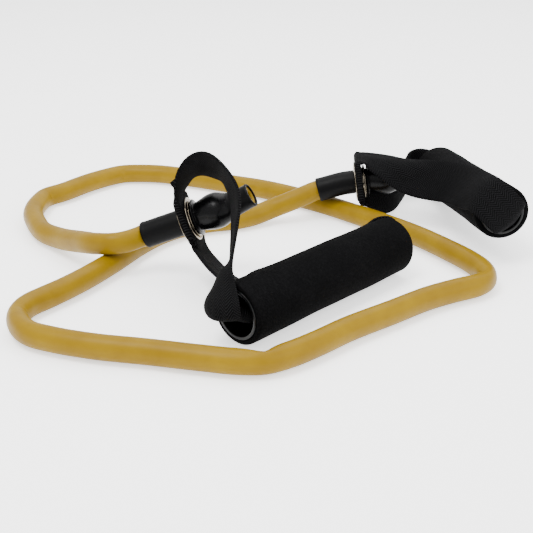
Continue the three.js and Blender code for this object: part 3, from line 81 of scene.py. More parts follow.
NEAR_WEB = [
    [(-81.25, -34.04, 30.49), (-80.75, -27.82, 30.49), (-80.25, -21.59, 30.49), (-79.74, -15.36, 30.49), (-79.24, -9.13, 30.49)],
    [(-82.91, -33.91, 34.76), (-82.4, -27.68, 34.76), (-81.9, -21.45, 34.76), (-81.4, -15.22, 34.76), (-80.9, -8.99, 34.76)],
    [(-84.57, -33.78, 39.05), (-84.06, -27.55, 39.05), (-83.56, -21.32, 39.05), (-83.06, -15.09, 39.05), (-82.56, -8.86, 39.05)],
    [(-86.04, -33.57, 43.7), (-85.47, -27.4, 43.51), (-85.27, -21.15, 44.3), (-84.35, -14.97, 43.21), (-83.8, -8.71, 43.1)],
    [(-86.78, -29.95, 48.26), (-85.35, -26.05, 48.13), (-83.94, -22.17, 48.06), (-82.53, -18.22, 47.68), (-81.17, -14.29, 47.43)],
    [(-86.35, -30.6, 54.79), (-84.61, -26.58, 53.77), (-82.87, -22.57, 52.72), (-81.16, -18.51, 51.66), (-79.45, -14.43, 50.62)],
    [(-84.55, -32, 61.46), (-82.74, -27.66, 59.28), (-80.93, -23.32, 57.09), (-79.12, -18.99, 54.9), (-77.31, -14.65, 52.71)],
    [(-81.27, -33.45, 67.24), (-79.63, -29.1, 63.95), (-77.98, -24.76, 60.66), (-76.34, -20.42, 57.36), (-74.69, -16.08, 54.06)],
    [(-77.04, -35.18, 71.34), (-75.71, -31, 67.25), (-74.38, -26.82, 63.16), (-73.05, -22.64, 59.06), (-71.72, -18.47, 54.95)],
    [(-72.46, -37.49, 73.57), (-71.48, -33.49, 68.97), (-70.5, -29.49, 64.37), (-69.52, -25.49, 59.77), (-68.55, -21.49, 55.17)],
    [(-68.3, -40.84, 74.12), (-67.61, -36.83, 69.39), (-66.92, -32.81, 64.66), (-66.23, -28.8, 59.93), (-65.54, -24.78, 55.19)],
    [(-64.65, -45.08, 73.43), (-64.25, -40.85, 68.93), (-63.84, -36.62, 64.44), (-63.44, -32.39, 59.94), (-63.03, -28.16, 55.44)],
    [(-61.23, -49.67, 71.86), (-61.22, -45.17, 67.78), (-61.22, -40.68, 63.71), (-61.21, -36.18, 59.63), (-61.21, -31.68, 55.55)],
    [(-58.02, -54.26, 69.73), (-58.51, -49.54, 66.04), (-59.01, -44.82, 62.35), (-59.51, -40.11, 58.67), (-60.01, -35.39, 54.98)],
    [(-55.2, -58.86, 67.36), (-56.15, -53.94, 64.03), (-57.1, -49.02, 60.71), (-58.05, -44.09, 57.38), (-58.99, -39.17, 54.06)],
    [(-53.04, -63.48, 64.88), (-54.26, -58.38, 61.9), (-55.48, -53.28, 58.92), (-56.7, -48.18, 55.94), (-57.93, -43.08, 52.96)],
    [(-51.74, -68.08, 62.32), (-53.03, -62.86, 59.65), (-54.32, -57.63, 56.99), (-55.61, -52.41, 54.32), (-56.9, -47.19, 51.65)],
    [(-51.28, -72.6, 59.7), (-52.5, -67.31, 57.28), (-53.72, -62.01, 54.85), (-54.94, -56.71, 52.43), (-56.17, -51.41, 50)],
    [(-51.4, -77.03, 57), (-52.5, -71.66, 54.73), (-53.59, -66.29, 52.46), (-54.68, -60.92, 50.2), (-55.78, -55.55, 47.93)],
    [(-51.83, -81.33, 54.17), (-52.78, -75.88, 52), (-53.73, -70.43, 49.83), (-54.68, -64.98, 47.66), (-55.64, -59.53, 45.49)],
    [(-52.38, -85.42, 51.18), (-53.19, -79.9, 49.06), (-54, -74.38, 46.94), (-54.82, -68.87, 44.82), (-55.63, -63.35, 42.7)],
    [(-52.98, -89.37, 48.25), (-53.67, -83.85, 46.15), (-54.35, -78.34, 44.05), (-55.03, -72.82, 41.95), (-55.72, -67.31, 39.86)],
    [(-53.63, -93.32, 45.5), (-54.18, -87.84, 43.39), (-54.73, -82.37, 41.28), (-55.27, -76.9, 39.17), (-55.82, -71.42, 37.06)],
    [(-54.32, -97.33, 42.97), (-54.7, -91.91, 40.8), (-55.07, -86.48, 38.63), (-55.45, -81.06, 36.46), (-55.83, -75.64, 34.29)],
    [(-54.83, -101.4, 40.76), (-54.99, -96.05, 38.42), (-55.26, -90.72, 36.13), (-55.52, -85.36, 33.86), (-55.8, -79.99, 31.62)],
    [(-54.63, -105.37, 38.21), (-56.31, -100.02, 36.8), (-57.23, -94.78, 34.83), (-57.39, -89.63, 32.28), (-56.8, -84.58, 29.16)],
    [(-53.74, -108.58, 35.19), (-57.8, -103.55, 35.17), (-60.06, -98.54, 33.81), (-60.59, -93.59, 31.11), (-59.37, -88.72, 27.06)],
    [(-52.76, -111.69, 32.61), (-57.36, -107.27, 32.39), (-60.47, -102.6, 31), (-62.1, -97.7, 28.44), (-62.23, -92.56, 24.71)],
    [(-51.87, -114.56, 30.28), (-56.92, -110.87, 29.61), (-60.78, -106.67, 28.09), (-63.44, -101.95, 25.74), (-64.91, -96.69, 22.57)],
    [(-51.11, -116.83, 27.55), (-56.88, -114.39, 26.76), (-61.44, -110.95, 25.41), (-64.8, -106.52, 23.49), (-66.96, -101.08, 20.99)],
    [(-50.45, -118.41, 24.03), (-56.58, -117.06, 22.81), (-61.5, -114.26, 21.51), (-65.22, -110.01, 20.13), (-67.74, -104.32, 18.69)],
    [(-50.19, -117.29, 20.17), (-56.27, -117.31, 17.95), (-61.02, -115.26, 16.42), (-64.44, -111.15, 15.56), (-66.54, -105, 15.37)],
    [(-49.21, -115.46, 17.02), (-54.04, -114.09, 17.06), (-58.15, -111.78, 16.45), (-61.42, -108.36, 15.2), (-63.96, -103.79, 13.43)],
    [(-47.63, -114.3, 15.29), (-51.29, -110.88, 18.25), (-54.9, -107.77, 18.8), (-58.35, -104.81, 17.02), (-61.69, -102, 12.94)],
    [(-44.52, -111.26, 14.25), (-47.92, -107.71, 17.82), (-51.31, -104.44, 18.77), (-54.69, -101.39, 17.21), (-58.03, -98.6, 13.07)],
    [(-40.96, -107.66, 14.38), (-44.38, -104.41, 17.3), (-47.78, -101.18, 18.23), (-51.17, -97.98, 17.18), (-54.55, -94.82, 14.14)],
    [(-37.68, -104.26, 14.52), (-41.08, -101.03, 16.13), (-44.49, -97.8, 16.67), (-47.92, -94.57, 16.14), (-51.35, -91.34, 14.55)],
    [(-34.51, -100.91, 14.82), (-37.93, -97.68, 14.65), (-41.35, -94.45, 14.6), (-44.77, -91.23, 14.66), (-48.18, -88, 14.83)],
    [(-31.33, -97.55, 15.13), (-34.77, -94.31, 13.23), (-38.19, -91.09, 12.61), (-41.59, -87.86, 13.26), (-45.01, -84.63, 15.17)],
    [(-28.38, -94.14, 15.65), (-31.45, -91.1, 12.21), (-34.84, -87.81, 10.82), (-38.37, -84.43, 11.77), (-41.76, -81.2, 15.01)],
    [(-25.95, -90.62, 17.19), (-27.82, -88.19, 12.35), (-31.1, -84.73, 9.66), (-35.05, -80.86, 10.41), (-38.4, -77.66, 14.34)],
    [(-23.62, -87.01, 19.05), (-24.17, -85.27, 13.19), (-27.25, -81.67, 9.23), (-31.63, -77.31, 9.51), (-35, -74.07, 13.62)],
    [(-20.84, -83.24, 20.33), (-20.8, -81.9, 14.18), (-23.61, -78.42, 9.65), (-28.07, -73.9, 9.43), (-31.56, -70.48, 13.3)],
    [(-17.92, -79.34, 21.35), (-17.55, -78.32, 15.16), (-20.07, -75.11, 10.29), (-24.47, -70.6, 9.55), (-28.09, -66.91, 13.02)],
    [(-15.04, -75.34, 22.29), (-14.32, -74.69, 16.1), (-16.53, -71.81, 10.88), (-20.84, -67.34, 9.58), (-24.58, -63.38, 12.59)],
    [(-12.22, -71.29, 23.14), (-11.16, -70.98, 16.96), (-12.98, -68.5, 11.41), (-17.18, -64.13, 9.52), (-21.03, -59.93, 12.01)],
    [(-9.47, -67.21, 23.85), (-8.14, -67.15, 17.73), (-9.43, -65.15, 11.87), (-13.49, -60.98, 9.34), (-17.45, -56.6, 11.31)],
    [(-6.7, -63.23, 24.34), (-5.64, -63.05, 18.44), (-5.89, -61.72, 12.34), (-9.82, -57.93, 9.09), (-13.86, -53.43, 10.52)],
    [(-3.4, -59.87, 24.29), (-4.02, -58.6, 19.28), (-2.65, -57.98, 13.24), (-6.24, -55.01, 9.12), (-10.21, -50.69, 9.45)],
    [(0.58, -57.31, 23.69), (-2.38, -54.29, 20.61), (-0.47, -53.67, 14.68), (-3.84, -51.48, 10.15), (-6.07, -49.22, 7.81)],
    [(4.45, -54.53, 23.1), (0.33, -50.53, 21.9), (0.37, -48.97, 16.06), (-2.38, -47.26, 11.15), (-1.44, -48.61, 6.32)],
    [(8.03, -50.88, 23.02), (3.58, -46.71, 22.22), (1.42, -44.31, 16.87), (0.75, -43.72, 10.75), (3.04, -46.7, 5.93)],
    [(11.33, -46.89, 23.28), (6.79, -42.83, 22.01), (4.13, -40.31, 16.8), (4.43, -40.6, 10.48), (7.14, -43.83, 5.92)],
    [(14.43, -42.89, 23.61), (9.9, -38.98, 21.86), (7.32, -36.64, 16.53), (8.02, -37.37, 10.27), (11.04, -40.71, 5.98)],
    [(17.46, -38.92, 23.92), (12.99, -35.13, 21.76), (10.59, -33.03, 16.26), (11.57, -34.03, 10.07), (14.85, -37.46, 6.06)],
    [(20.5, -34.99, 24.17), (16.09, -31.32, 21.68), (13.88, -29.43, 16.02), (15.09, -30.62, 9.9), (18.6, -34.12, 6.14)],
    [(23.58, -31.06, 24.37), (19.21, -27.54, 21.61), (17.16, -25.84, 15.83), (18.58, -27.15, 9.77), (22.31, -30.63, 6.21)],
    [(26.67, -27.06, 24.56), (22.3, -23.75, 21.55), (20.39, -22.23, 15.66), (21.97, -23.59, 9.66), (25.92, -26.94, 6.24)],
    [(29.59, -22.85, 24.82), (25.27, -19.91, 21.5), (23.55, -18.59, 15.53), (25.18, -19.89, 9.54), (29.31, -22.94, 6.14)],
    [(31.81, -18.28, 25.69), (27.96, -15.95, 21.49), (26.62, -14.84, 15.43), (28.02, -16, 9.4), (32.05, -18.5, 5.46)],
    [(32.39, -12.49, 26.82), (29.62, -11.31, 21.45), (28.26, -10.69, 15.35), (29.92, -11.38, 9.32), (33.7, -12.72, 4.59)],
    [(29.52, -7.88, 27.46), (29.1, -6.53, 21.51), (28.66, -6.03, 15.34), (30.28, -6.47, 9.32), (32.6, -7.51, 3.72)],
    [(24.56, -5.35, 26.46), (25.28, -3.27, 20.69), (26.2, -2.59, 14.56), (27.46, -3.12, 8.5), (28.79, -4.77, 2.72)],
    [(20.98, -5.19, 24.86), (20.84, -3.68, 18.98), (21.52, -3.48, 12.85), (23.05, -4.44, 6.98), (25.33, -6.46, 1.78)],
    [(18.54, -7.92, 23.81), (17.57, -6.67, 17.95), (17.95, -6.81, 11.84), (19.65, -8.28, 6.15), (22.53, -10.94, 1.51)],
    [(15.86, -11.62, 23.46), (14.54, -10.36, 17.67), (14.77, -10.56, 11.61), (16.51, -12.2, 6.02), (19.54, -15.06, 1.61)],
    [(12.51, -15.19, 23.46), (11.19, -13.94, 17.67), (11.41, -14.15, 11.62), (13.14, -15.79, 6.04), (16.17, -18.65, 1.63)],
    [(9.13, -18.75, 23.46), (7.82, -17.51, 17.68), (8.04, -17.72, 11.62), (9.77, -19.35, 6.04), (12.8, -22.21, 1.63)],
    [(5.76, -22.32, 23.47), (4.44, -21.08, 17.68), (4.67, -21.29, 11.62), (6.4, -22.92, 6.04), (9.42, -25.78, 1.63)],
    [(2.39, -25.89, 23.47), (1.07, -24.65, 17.68), (1.29, -24.85, 11.62), (3.02, -26.49, 6.04), (6.05, -29.35, 1.63)],
    [(-0.98, -29.46, 23.47), (-2.3, -28.21, 17.68), (-2.08, -28.42, 11.62), (-0.35, -30.06, 6.04), (2.68, -32.92, 1.63)],
    [(-4.36, -33.03, 23.47), (-5.67, -31.78, 17.68), (-5.45, -31.99, 11.62), (-3.72, -33.63, 6.04), (-0.69, -36.49, 1.63)],
    [(-7.73, -36.6, 23.47), (-9.05, -35.35, 17.68), (-8.82, -35.56, 11.62), (-7.09, -37.2, 6.04), (-4.07, -40.06, 1.63)],
    [(-11.1, -40.16, 23.47), (-12.42, -38.92, 17.68), (-12.2, -39.13, 11.62), (-10.47, -40.77, 6.04), (-7.44, -43.63, 1.63)],
    [(-14.47, -43.73, 23.47), (-15.79, -42.49, 17.68), (-15.57, -42.7, 11.62), (-13.84, -44.33, 6.04), (-10.81, -47.2, 1.63)],
    [(-17.85, -47.3, 23.47), (-19.16, -46.06, 17.68), (-18.94, -46.27, 11.62), (-17.21, -47.9, 6.04), (-14.18, -50.76, 1.63)],
    [(-21.22, -50.87, 23.47), (-22.54, -49.63, 17.68), (-22.31, -49.84, 11.62), (-20.58, -51.47, 6.04), (-17.56, -54.33, 1.63)],
    [(-24.59, -54.44, 23.47), (-25.91, -53.2, 17.68), (-25.69, -53.41, 11.62), (-23.96, -55.04, 6.04), (-20.93, -57.9, 1.63)],
    [(-27.96, -58.01, 23.47), (-29.28, -56.77, 17.68), (-29.06, -56.97, 11.62), (-27.33, -58.61, 6.04), (-24.3, -61.47, 1.63)],
    [(-31.33, -61.58, 23.47), (-32.65, -60.34, 17.68), (-32.43, -60.55, 11.62), (-30.69, -62.19, 6.04), (-27.66, -65.06, 1.63)],
    [(-34.71, -65.13, 23.48), (-36, -63.92, 17.69), (-35.79, -64.12, 11.64), (-34.1, -65.73, 6.06), (-31.16, -68.55, 1.63)],
    [(-38.17, -68.48, 23.5), (-39.4, -67.41, 17.73), (-39.27, -67.58, 11.75), (-37.81, -68.97, 6.19), (-35.19, -71.48, 1.63)],
    [(-41.6, -71.15, 23.41), (-43.23, -70.32, 17.77), (-43.43, -70.36, 11.97), (-42.22, -71.27, 6.42), (-39.67, -73.05, 1.55)],
    [(-44.7, -73.31, 23.21), (-47.42, -72.76, 17.72), (-48.18, -72.5, 12.21), (-46.98, -72.57, 6.82), (-43.87, -73.12, 1.76)],
    [(-47.64, -77.47, 23.13), (-50.85, -77.16, 17.38), (-51.61, -76.23, 12.22), (-50.02, -74.99, 7.59), (-46.27, -73.56, 3.51)],
    [(-50.5, -83.29, 22.81), (-52.59, -82.78, 16.82), (-52.51, -81.03, 12.2), (-50.36, -78.25, 8.89), (-46.38, -74.47, 6.8)],
    [(-54.57, -82.61, 20.44), (-53.06, -80.51, 16.63), (-50.91, -78.04, 13.45), (-48.13, -74.94, 10.95), (-44.74, -70.95, 9.07)],
    [(-56.94, -78.63, 18.76), (-53.98, -75.81, 16.17), (-50.99, -73.02, 13.62), (-47.93, -70.09, 11.17), (-44.76, -66.92, 8.81)],
    [(-59.19, -74.13, 17.53), (-55.84, -71.24, 15.24), (-52.55, -68.41, 12.89), (-49.28, -65.56, 10.53), (-46.01, -62.69, 8.15)],
    [(-61.48, -69.58, 16.81), (-57.97, -66.75, 14.52), (-54.48, -63.94, 12.22), (-50.98, -61.12, 9.92), (-47.49, -58.3, 7.62)],
    [(-63.78, -64.96, 16.41), (-60.1, -62.2, 14.11), (-56.41, -59.44, 11.81), (-52.72, -56.69, 9.51), (-49.03, -53.93, 7.21)],
    [(-66, -60.24, 16.18), (-62.22, -57.61, 13.81), (-58.45, -54.99, 11.44), (-54.67, -52.37, 9.07), (-50.9, -49.75, 6.69)],
    [(-68.11, -55.69, 16.23), (-64.32, -53.13, 13.68), (-60.54, -50.57, 11.13), (-56.75, -48.01, 8.57), (-52.97, -45.45, 6.02)],
    [(-70.13, -51.27, 16.49), (-66.37, -48.7, 13.72), (-62.61, -46.12, 10.95), (-58.85, -43.55, 8.18), (-55.09, -40.98, 5.41)],
    [(-72.07, -46.81, 16.82), (-68.36, -44.24, 13.9), (-64.66, -41.66, 10.98), (-60.95, -39.09, 8.06), (-57.25, -36.52, 5.15)],
    [(-73.88, -42.57, 17.26), (-70.31, -39.9, 14.28), (-66.75, -37.24, 11.31), (-63.19, -34.57, 8.34), (-59.63, -31.91, 5.36)],
    [(-75.5, -38.79, 17.81), (-72.26, -35.88, 14.95), (-69.02, -32.97, 12.1), (-65.79, -30.06, 9.24), (-62.56, -27.15, 6.4)],
    [(-76.89, -35.55, 18.37), (-74.24, -32.29, 15.94), (-71.63, -29.05, 13.53), (-68.92, -25.9, 11.03), (-66.24, -22.68, 8.62)],
    [(-78.19, -32.67, 18.98), (-76.28, -29.06, 17.2), (-74.55, -25.55, 15.54), (-72.36, -22.42, 13.58), (-70.33, -19, 11.91)],
    [(-78.49, -34.71, 24.1), (-76.21, -30.08, 19.19), (-74.86, -23.94, 17.01), (-74.54, -17.8, 17.46), (-73.49, -12.31, 15.89)],
    [(-77.99, -34.31, 22.06), (-77.49, -28.08, 22.06), (-76.98, -21.85, 22.06), (-76.48, -15.62, 22.06), (-75.98, -9.39, 22.06)],
    [(-79.62, -34.18, 26.26), (-79.11, -27.95, 26.26), (-78.61, -21.72, 26.26), (-78.11, -15.49, 26.26), (-77.61, -9.26, 26.26)],
]
FAR_WEB = [
    [(18.12, 49.18, 24.41), (18.43, 55.42, 24.41), (18.75, 61.66, 24.41), (19.06, 67.9, 24.41), (19.38, 74.14, 24.41)],
    [(17.48, 49.21, 28.92), (17.79, 55.45, 28.92), (18.11, 61.69, 28.92), (18.42, 67.93, 28.92), (18.74, 74.18, 28.92)],
    [(16.84, 49.24, 33.44), (17.16, 55.48, 33.44), (17.47, 61.72, 33.44), (17.79, 67.97, 33.44), (18.1, 74.21, 33.44)],
    [(16.64, 49.25, 34.84), (16.96, 55.49, 34.84), (17.27, 61.73, 34.84), (17.59, 67.98, 34.84), (17.91, 74.22, 34.84)],
    [(16.38, 49.59, 38.98), (16.7, 55.85, 38.94), (17.01, 62.12, 39), (17.35, 68.36, 38.78), (17.7, 74.62, 38.61)],
    [(21.21, 49.82, 40.04), (21.25, 56.07, 39.68), (21.91, 62.23, 39.51), (22.78, 68.31, 38.66), (23.59, 74.42, 38.55)],
    [(21.88, 49.98, 36.43), (24.37, 55.65, 37.3), (26.26, 61.4, 38.54), (27.84, 67.38, 38.31), (29.51, 73.3, 38.3)],
    [(25.16, 48.85, 34.43), (27.96, 54.22, 36), (30.37, 59.65, 37.98), (32.53, 65.49, 38.1), (34.85, 71.22, 38.18)],
    [(28.72, 47.83, 31.76), (31.75, 52.41, 34.63), (34.3, 57.23, 38.07), (36.77, 63.24, 38.48), (39.34, 68.84, 37.99)],
    [(32.62, 47.05, 28.75), (35.7, 50.49, 32.81), (38.52, 54.85, 36.97), (40.85, 60.98, 38.03), (43.32, 66.67, 37.57)],
    [(36.84, 46.31, 25.81), (39.74, 49.79, 29.95), (42.44, 53.34, 34.63), (44.65, 59.04, 37.01), (47.18, 64.74, 37.38)],
    [(41.35, 45.62, 23.28), (43.78, 49.67, 27.33), (46.22, 52.43, 32.37), (48.32, 56.96, 36.67), (50.96, 62.69, 37.58)],
    [(45.99, 44.82, 21.4), (48.18, 48.77, 25.72), (50.31, 51.66, 30.77), (52.15, 54.88, 36.17), (54.68, 60.47, 38.14)],
    [(50.56, 43.75, 20.2), (52.55, 47.41, 24.87), (54.52, 50.72, 29.8), (56.27, 53.37, 35.3), (58.43, 58.08, 38.87)],
    [(54.87, 42.32, 19.61), (56.7, 45.62, 24.61), (58.54, 48.75, 29.69), (60.28, 51.7, 34.93), (62.1, 55.26, 39.72)],
    [(58.73, 40.46, 19.5), (60.47, 43.37, 24.79), (62.22, 46.19, 30.08), (63.94, 48.98, 35.41), (65.65, 52, 40.57)],
    [(61.93, 37.98, 19.81), (63.67, 40.55, 25.28), (65.43, 43.09, 30.71), (67.21, 45.65, 36.12), (69.01, 48.31, 41.44)],
    [(64.12, 34.76, 20.56), (66.06, 37.12, 26.06), (68.01, 39.46, 31.51), (69.98, 41.82, 36.94), (72, 44.2, 42.3)],
    [(65.36, 31.09, 21.58), (67.67, 33.27, 27.01), (69.93, 35.45, 32.4), (72.2, 37.64, 37.79), (74.5, 39.8, 43.14)],
    [(66.15, 27.21, 22.68), (68.79, 29.21, 28.02), (71.38, 31.24, 33.33), (73.96, 33.26, 38.64), (76.56, 35.25, 43.93)],
    [(66.77, 23.18, 23.77), (69.67, 25.03, 29.01), (72.54, 26.91, 34.23), (75.4, 28.8, 39.45), (78.28, 30.64, 44.65)],
    [(67.3, 19.02, 24.82), (70.4, 20.75, 29.99), (73.5, 22.52, 35.12), (76.6, 24.3, 40.24), (79.74, 26.04, 45.33)],
    [(67.86, 14.74, 25.84), (71.05, 16.41, 30.96), (74.31, 18.11, 36.01), (77.63, 19.82, 41.02), (81.05, 21.49, 45.96)],
    [(68.7, 10.29, 26.75), (71.66, 11.91, 32.01), (74.94, 13.57, 37.05), (78.51, 15.27, 41.88), (82.41, 16.94, 46.44)],
    [(69.85, 5.87, 27.55), (72.21, 7.41, 33.13), (75.4, 9.03, 38.24), (79.28, 10.74, 42.82), (83.85, 12.47, 46.71)],
    [(71.06, 1.53, 28.38), (72.88, 2.91, 34.21), (75.97, 4.48, 39.41), (80.11, 6.22, 43.76), (85.15, 8.04, 46.99)],
    [(71.95, -2.66, 29.5), (73.68, -1.49, 35.35), (76.82, -0.05, 40.49), (81.1, 1.63, 44.66), (86.3, 3.43, 47.53)],
    [(72.24, -6.77, 31.04), (74.64, -5.7, 36.48), (78.07, -4.46, 41.29), (82.39, -3.08, 45.31), (87.45, -1.6, 48.35)],
    [(73.01, -10.84, 31.78), (76.16, -9.82, 36.8), (79.91, -8.75, 41.28), (84.25, -7.64, 45.2), (89.15, -6.5, 48.51)],
    [(75.42, -14.08, 30.18), (78.83, -13.06, 35.06), (82.71, -12.02, 39.47), (87.05, -10.96, 43.43), (91.86, -9.88, 46.93)],
    [(78.4, -15.67, 27.54), (82.14, -14.63, 32.15), (86.14, -13.58, 36.49), (90.41, -12.52, 40.58), (94.94, -11.45, 44.4)],
    [(81.56, -16.07, 24.52), (85.52, -15.01, 28.92), (89.6, -13.95, 33.19), (93.8, -12.89, 37.35), (98.12, -11.84, 41.4)],
    [(84.62, -15.59, 21.47), (88.81, -14.55, 25.6), (92.96, -13.5, 29.78), (97.06, -12.44, 34.01), (101.11, -11.38, 38.28)],
    [(87.25, -14.03, 19.14), (91.94, -13.04, 22.48), (96.14, -12.02, 26.29), (99.87, -11.01, 30.57), (103.12, -9.97, 35.32)],
    [(88.46, -10.18, 19.24), (93.58, -9.32, 20.77), (97.8, -8.39, 23.76), (100.71, -7.49, 28.04), (102.14, -6.69, 33.19)],
    [(87.17, -5.6, 21.2), (92.72, -4.88, 20.35), (97.61, -3.92, 22.82), (99.99, -3.02, 27.77), (99.07, -2.56, 33.33)],
    [(86.34, -0.91, 21.37), (91.86, -0.3, 19.87), (96.99, 0.69, 22.28), (99.3, 1.6, 27.46), (97.73, 2, 32.98)],
    [(85.69, 3.72, 20.83), (91.21, 4.32, 19.34), (96.34, 5.31, 21.76), (98.66, 6.22, 26.93), (97.1, 6.63, 32.45)],
    [(85.05, 8.34, 20.3), (90.57, 8.95, 18.82), (95.69, 9.93, 21.23), (98.01, 10.85, 26.41), (96.46, 11.26, 31.92)],
    [(84.4, 12.97, 19.77), (89.92, 13.57, 18.29), (95.04, 14.56, 20.71), (97.37, 15.47, 25.88), (95.81, 15.88, 31.4)],
    [(83.76, 17.59, 19.25), (89.28, 18.19, 17.77), (94.4, 19.18, 20.18), (96.72, 20.1, 25.36), (95.16, 20.5, 30.87)],
    [(83.11, 22.21, 18.72), (88.63, 22.82, 17.24), (93.75, 23.81, 19.66), (96.07, 24.72, 24.83), (94.52, 25.13, 30.35)],
    [(82.46, 26.84, 18.2), (87.98, 27.44, 16.72), (93.1, 28.43, 19.13), (95.43, 29.35, 24.31), (93.87, 29.75, 29.82)],
    [(81.82, 31.46, 17.67), (87.34, 32.07, 16.19), (92.46, 33.06, 18.61), (94.78, 33.97, 23.78), (93.22, 34.38, 29.3)],
    [(81.18, 36.09, 17.14), (86.7, 36.69, 15.66), (91.82, 37.68, 18.07), (94.14, 38.59, 23.25), (92.58, 39, 28.76)],
    [(80.22, 40.69, 16.82), (85.78, 41.26, 15.33), (90.94, 42.28, 17.79), (93.28, 43.21, 23.02), (91.71, 43.59, 28.56)],
    [(78.54, 45.15, 16.97), (84.25, 45.62, 15.46), (89.49, 46.72, 18.16), (91.92, 47.72, 23.52), (90.26, 48, 29.17)],
    [(76.75, 49.54, 17.14), (82.63, 49.89, 15.69), (87.83, 51.08, 18.79), (90.42, 52.18, 24.28), (88.59, 52.33, 30.03)],
    [(75.41, 54.04, 16.84), (81.42, 54.28, 15.65), (86.28, 55.47, 19.39), (89.13, 56.72, 24.85), (87.01, 56.81, 30.6)],
    [(75.41, 58.66, 15.37), (81.12, 58.98, 15.29), (84.47, 59.61, 20.15), (88.17, 61.4, 24.68), (85.99, 61.62, 30.31)],
    [(76.85, 62.69, 13.28), (79.93, 63.23, 15.64), (81.59, 63.12, 21.48), (86.63, 65.71, 24.1), (85.92, 66.22, 29.52)],
    [(79.13, 66.47, 11.47), (77.41, 66.89, 16.06), (78.95, 67.04, 22.04), (84.31, 69.59, 23.99), (86.55, 70.54, 28.35)],
    [(80.24, 70.7, 10.6), (76.47, 71.03, 15.39), (77.1, 71.5, 21.62), (81.94, 73.38, 24.9), (86.77, 74.85, 27.3)],
    [(80.53, 75.23, 10.04), (76.24, 75.49, 14.59), (76.06, 76.13, 20.89), (80.3, 77.6, 25.28), (85.99, 79.22, 26.94)],
    [(80.55, 79.9, 9.55), (76.03, 80.07, 13.86), (75.3, 80.75, 20.13), (79.06, 82.06, 25.05), (84.81, 83.63, 26.84)],
    [(80.45, 84.63, 9.07), (75.72, 84.7, 13.15), (74.58, 85.34, 19.37), (77.94, 86.58, 24.59), (83.61, 88.08, 26.68)],
    [(80.25, 89.38, 8.61), (75.34, 89.34, 12.48), (73.86, 89.92, 18.63), (76.89, 91.12, 24.06), (82.46, 92.57, 26.45)],
    [(79.93, 94.17, 8.13), (74.89, 94, 11.82), (73.15, 94.5, 17.92), (75.92, 95.67, 23.5), (81.38, 97.09, 26.14)],
    [(79.48, 98.98, 7.64), (74.35, 98.66, 11.19), (72.44, 99.08, 17.24), (75, 100.23, 22.92), (80.34, 101.65, 25.78)],
    [(78.84, 103.83, 7.1), (73.69, 103.32, 10.57), (71.69, 103.66, 16.59), (74.06, 104.79, 22.36), (79.28, 106.25, 25.4)],
    [(77.92, 108.7, 6.49), (72.87, 107.97, 9.95), (70.93, 108.24, 15.99), (73.09, 109.34, 21.83), (78.07, 110.87, 25.03)],
    [(76.32, 113.43, 5.19), (71.67, 113.25, 9.27), (70.07, 113.71, 15.33), (72.05, 114.65, 21.19), (76.28, 115.75, 25.59)],
    [(73.68, 117.68, 4.34), (69.94, 116.04, 9.09), (68.38, 115.66, 15.27), (69.9, 116.71, 21.35), (73.16, 118.83, 26.24)],
    [(70.12, 121.07, 3.61), (67.61, 119.2, 9), (66.52, 118.63, 15.16), (67.31, 119.43, 21.32), (69.15, 121.11, 27.04)],
    [(65.71, 122.49, 2.96), (64.29, 121.38, 8.93), (63.43, 120.62, 15.07), (63.7, 120.94, 21.31), (64.48, 121.44, 27.48)],
    [(61.78, 120.4, 2.44), (60.31, 120.67, 8.56), (59.55, 120.51, 14.84), (59.72, 120.02, 21.14), (60.55, 119.09, 27.28)],
    [(58.53, 117.38, 2.02), (57.78, 117.23, 8.24), (57.33, 116.97, 14.49), (57.19, 116.63, 20.75), (57.31, 116.16, 27)],
    [(56.5, 113.33, 1.71), (56.11, 113.1, 7.95), (55.82, 112.85, 14.19), (55.63, 112.58, 20.44), (55.5, 112.28, 26.71)],
    [(55, 108.95, 1.48), (54.77, 108.76, 7.72), (54.58, 108.56, 13.97), (54.42, 108.35, 20.22), (54.29, 108.14, 26.49)],
    [(53.59, 104.48, 1.34), (53.44, 104.35, 7.58), (53.3, 104.22, 13.83), (53.18, 104.08, 20.08), (53.06, 103.95, 26.34)],
    [(52.2, 99.98, 1.26), (52.06, 99.94, 7.5), (51.93, 99.88, 13.75), (51.8, 99.81, 20), (51.66, 99.75, 26.26)],
    [(50.78, 95.5, 1.25), (50.58, 95.54, 7.47), (50.39, 95.57, 13.72), (50.19, 95.58, 19.97), (49.98, 95.6, 26.22)],
    [(49.28, 91.05, 1.25), (48.95, 91.2, 7.46), (48.61, 91.35, 13.7), (48.25, 91.46, 19.94), (47.87, 91.57, 26.18)],
    [(47.71, 86.61, 1.25), (47.14, 86.93, 7.46), (46.55, 87.24, 13.67), (45.91, 87.52, 19.88), (45.22, 87.79, 26.09)],
    [(46.16, 82.14, 1.32), (45.2, 82.72, 7.45), (44.23, 83.28, 13.6), (43.16, 83.81, 19.73), (42.02, 84.33, 25.85)],
    [(44.62, 77.6, 1.46), (43.13, 78.54, 7.42), (41.64, 79.49, 13.41), (40.05, 80.39, 19.39), (38.35, 81.25, 25.33)],
    [(42.91, 72.94, 1.7), (40.83, 74.42, 7.35), (38.79, 75.93, 13.06), (36.64, 77.34, 18.76), (34.34, 78.68, 24.4)],
    [(40.73, 68.14, 2.13), (38.13, 70.4, 7.23), (35.67, 72.66, 12.5), (33.06, 74.75, 17.79), (30.21, 76.7, 23)],
    [(37.73, 63.23, 2.92), (34.85, 66.54, 7.13), (32.27, 69.79, 11.76), (29.44, 72.76, 16.48), (26.22, 75.47, 21.12)],
    [(33.66, 58.44, 4.53), (30.91, 62.94, 7.35), (28.63, 67.34, 11.05), (25.96, 71.56, 14.76), (22.74, 75.34, 18.59)],
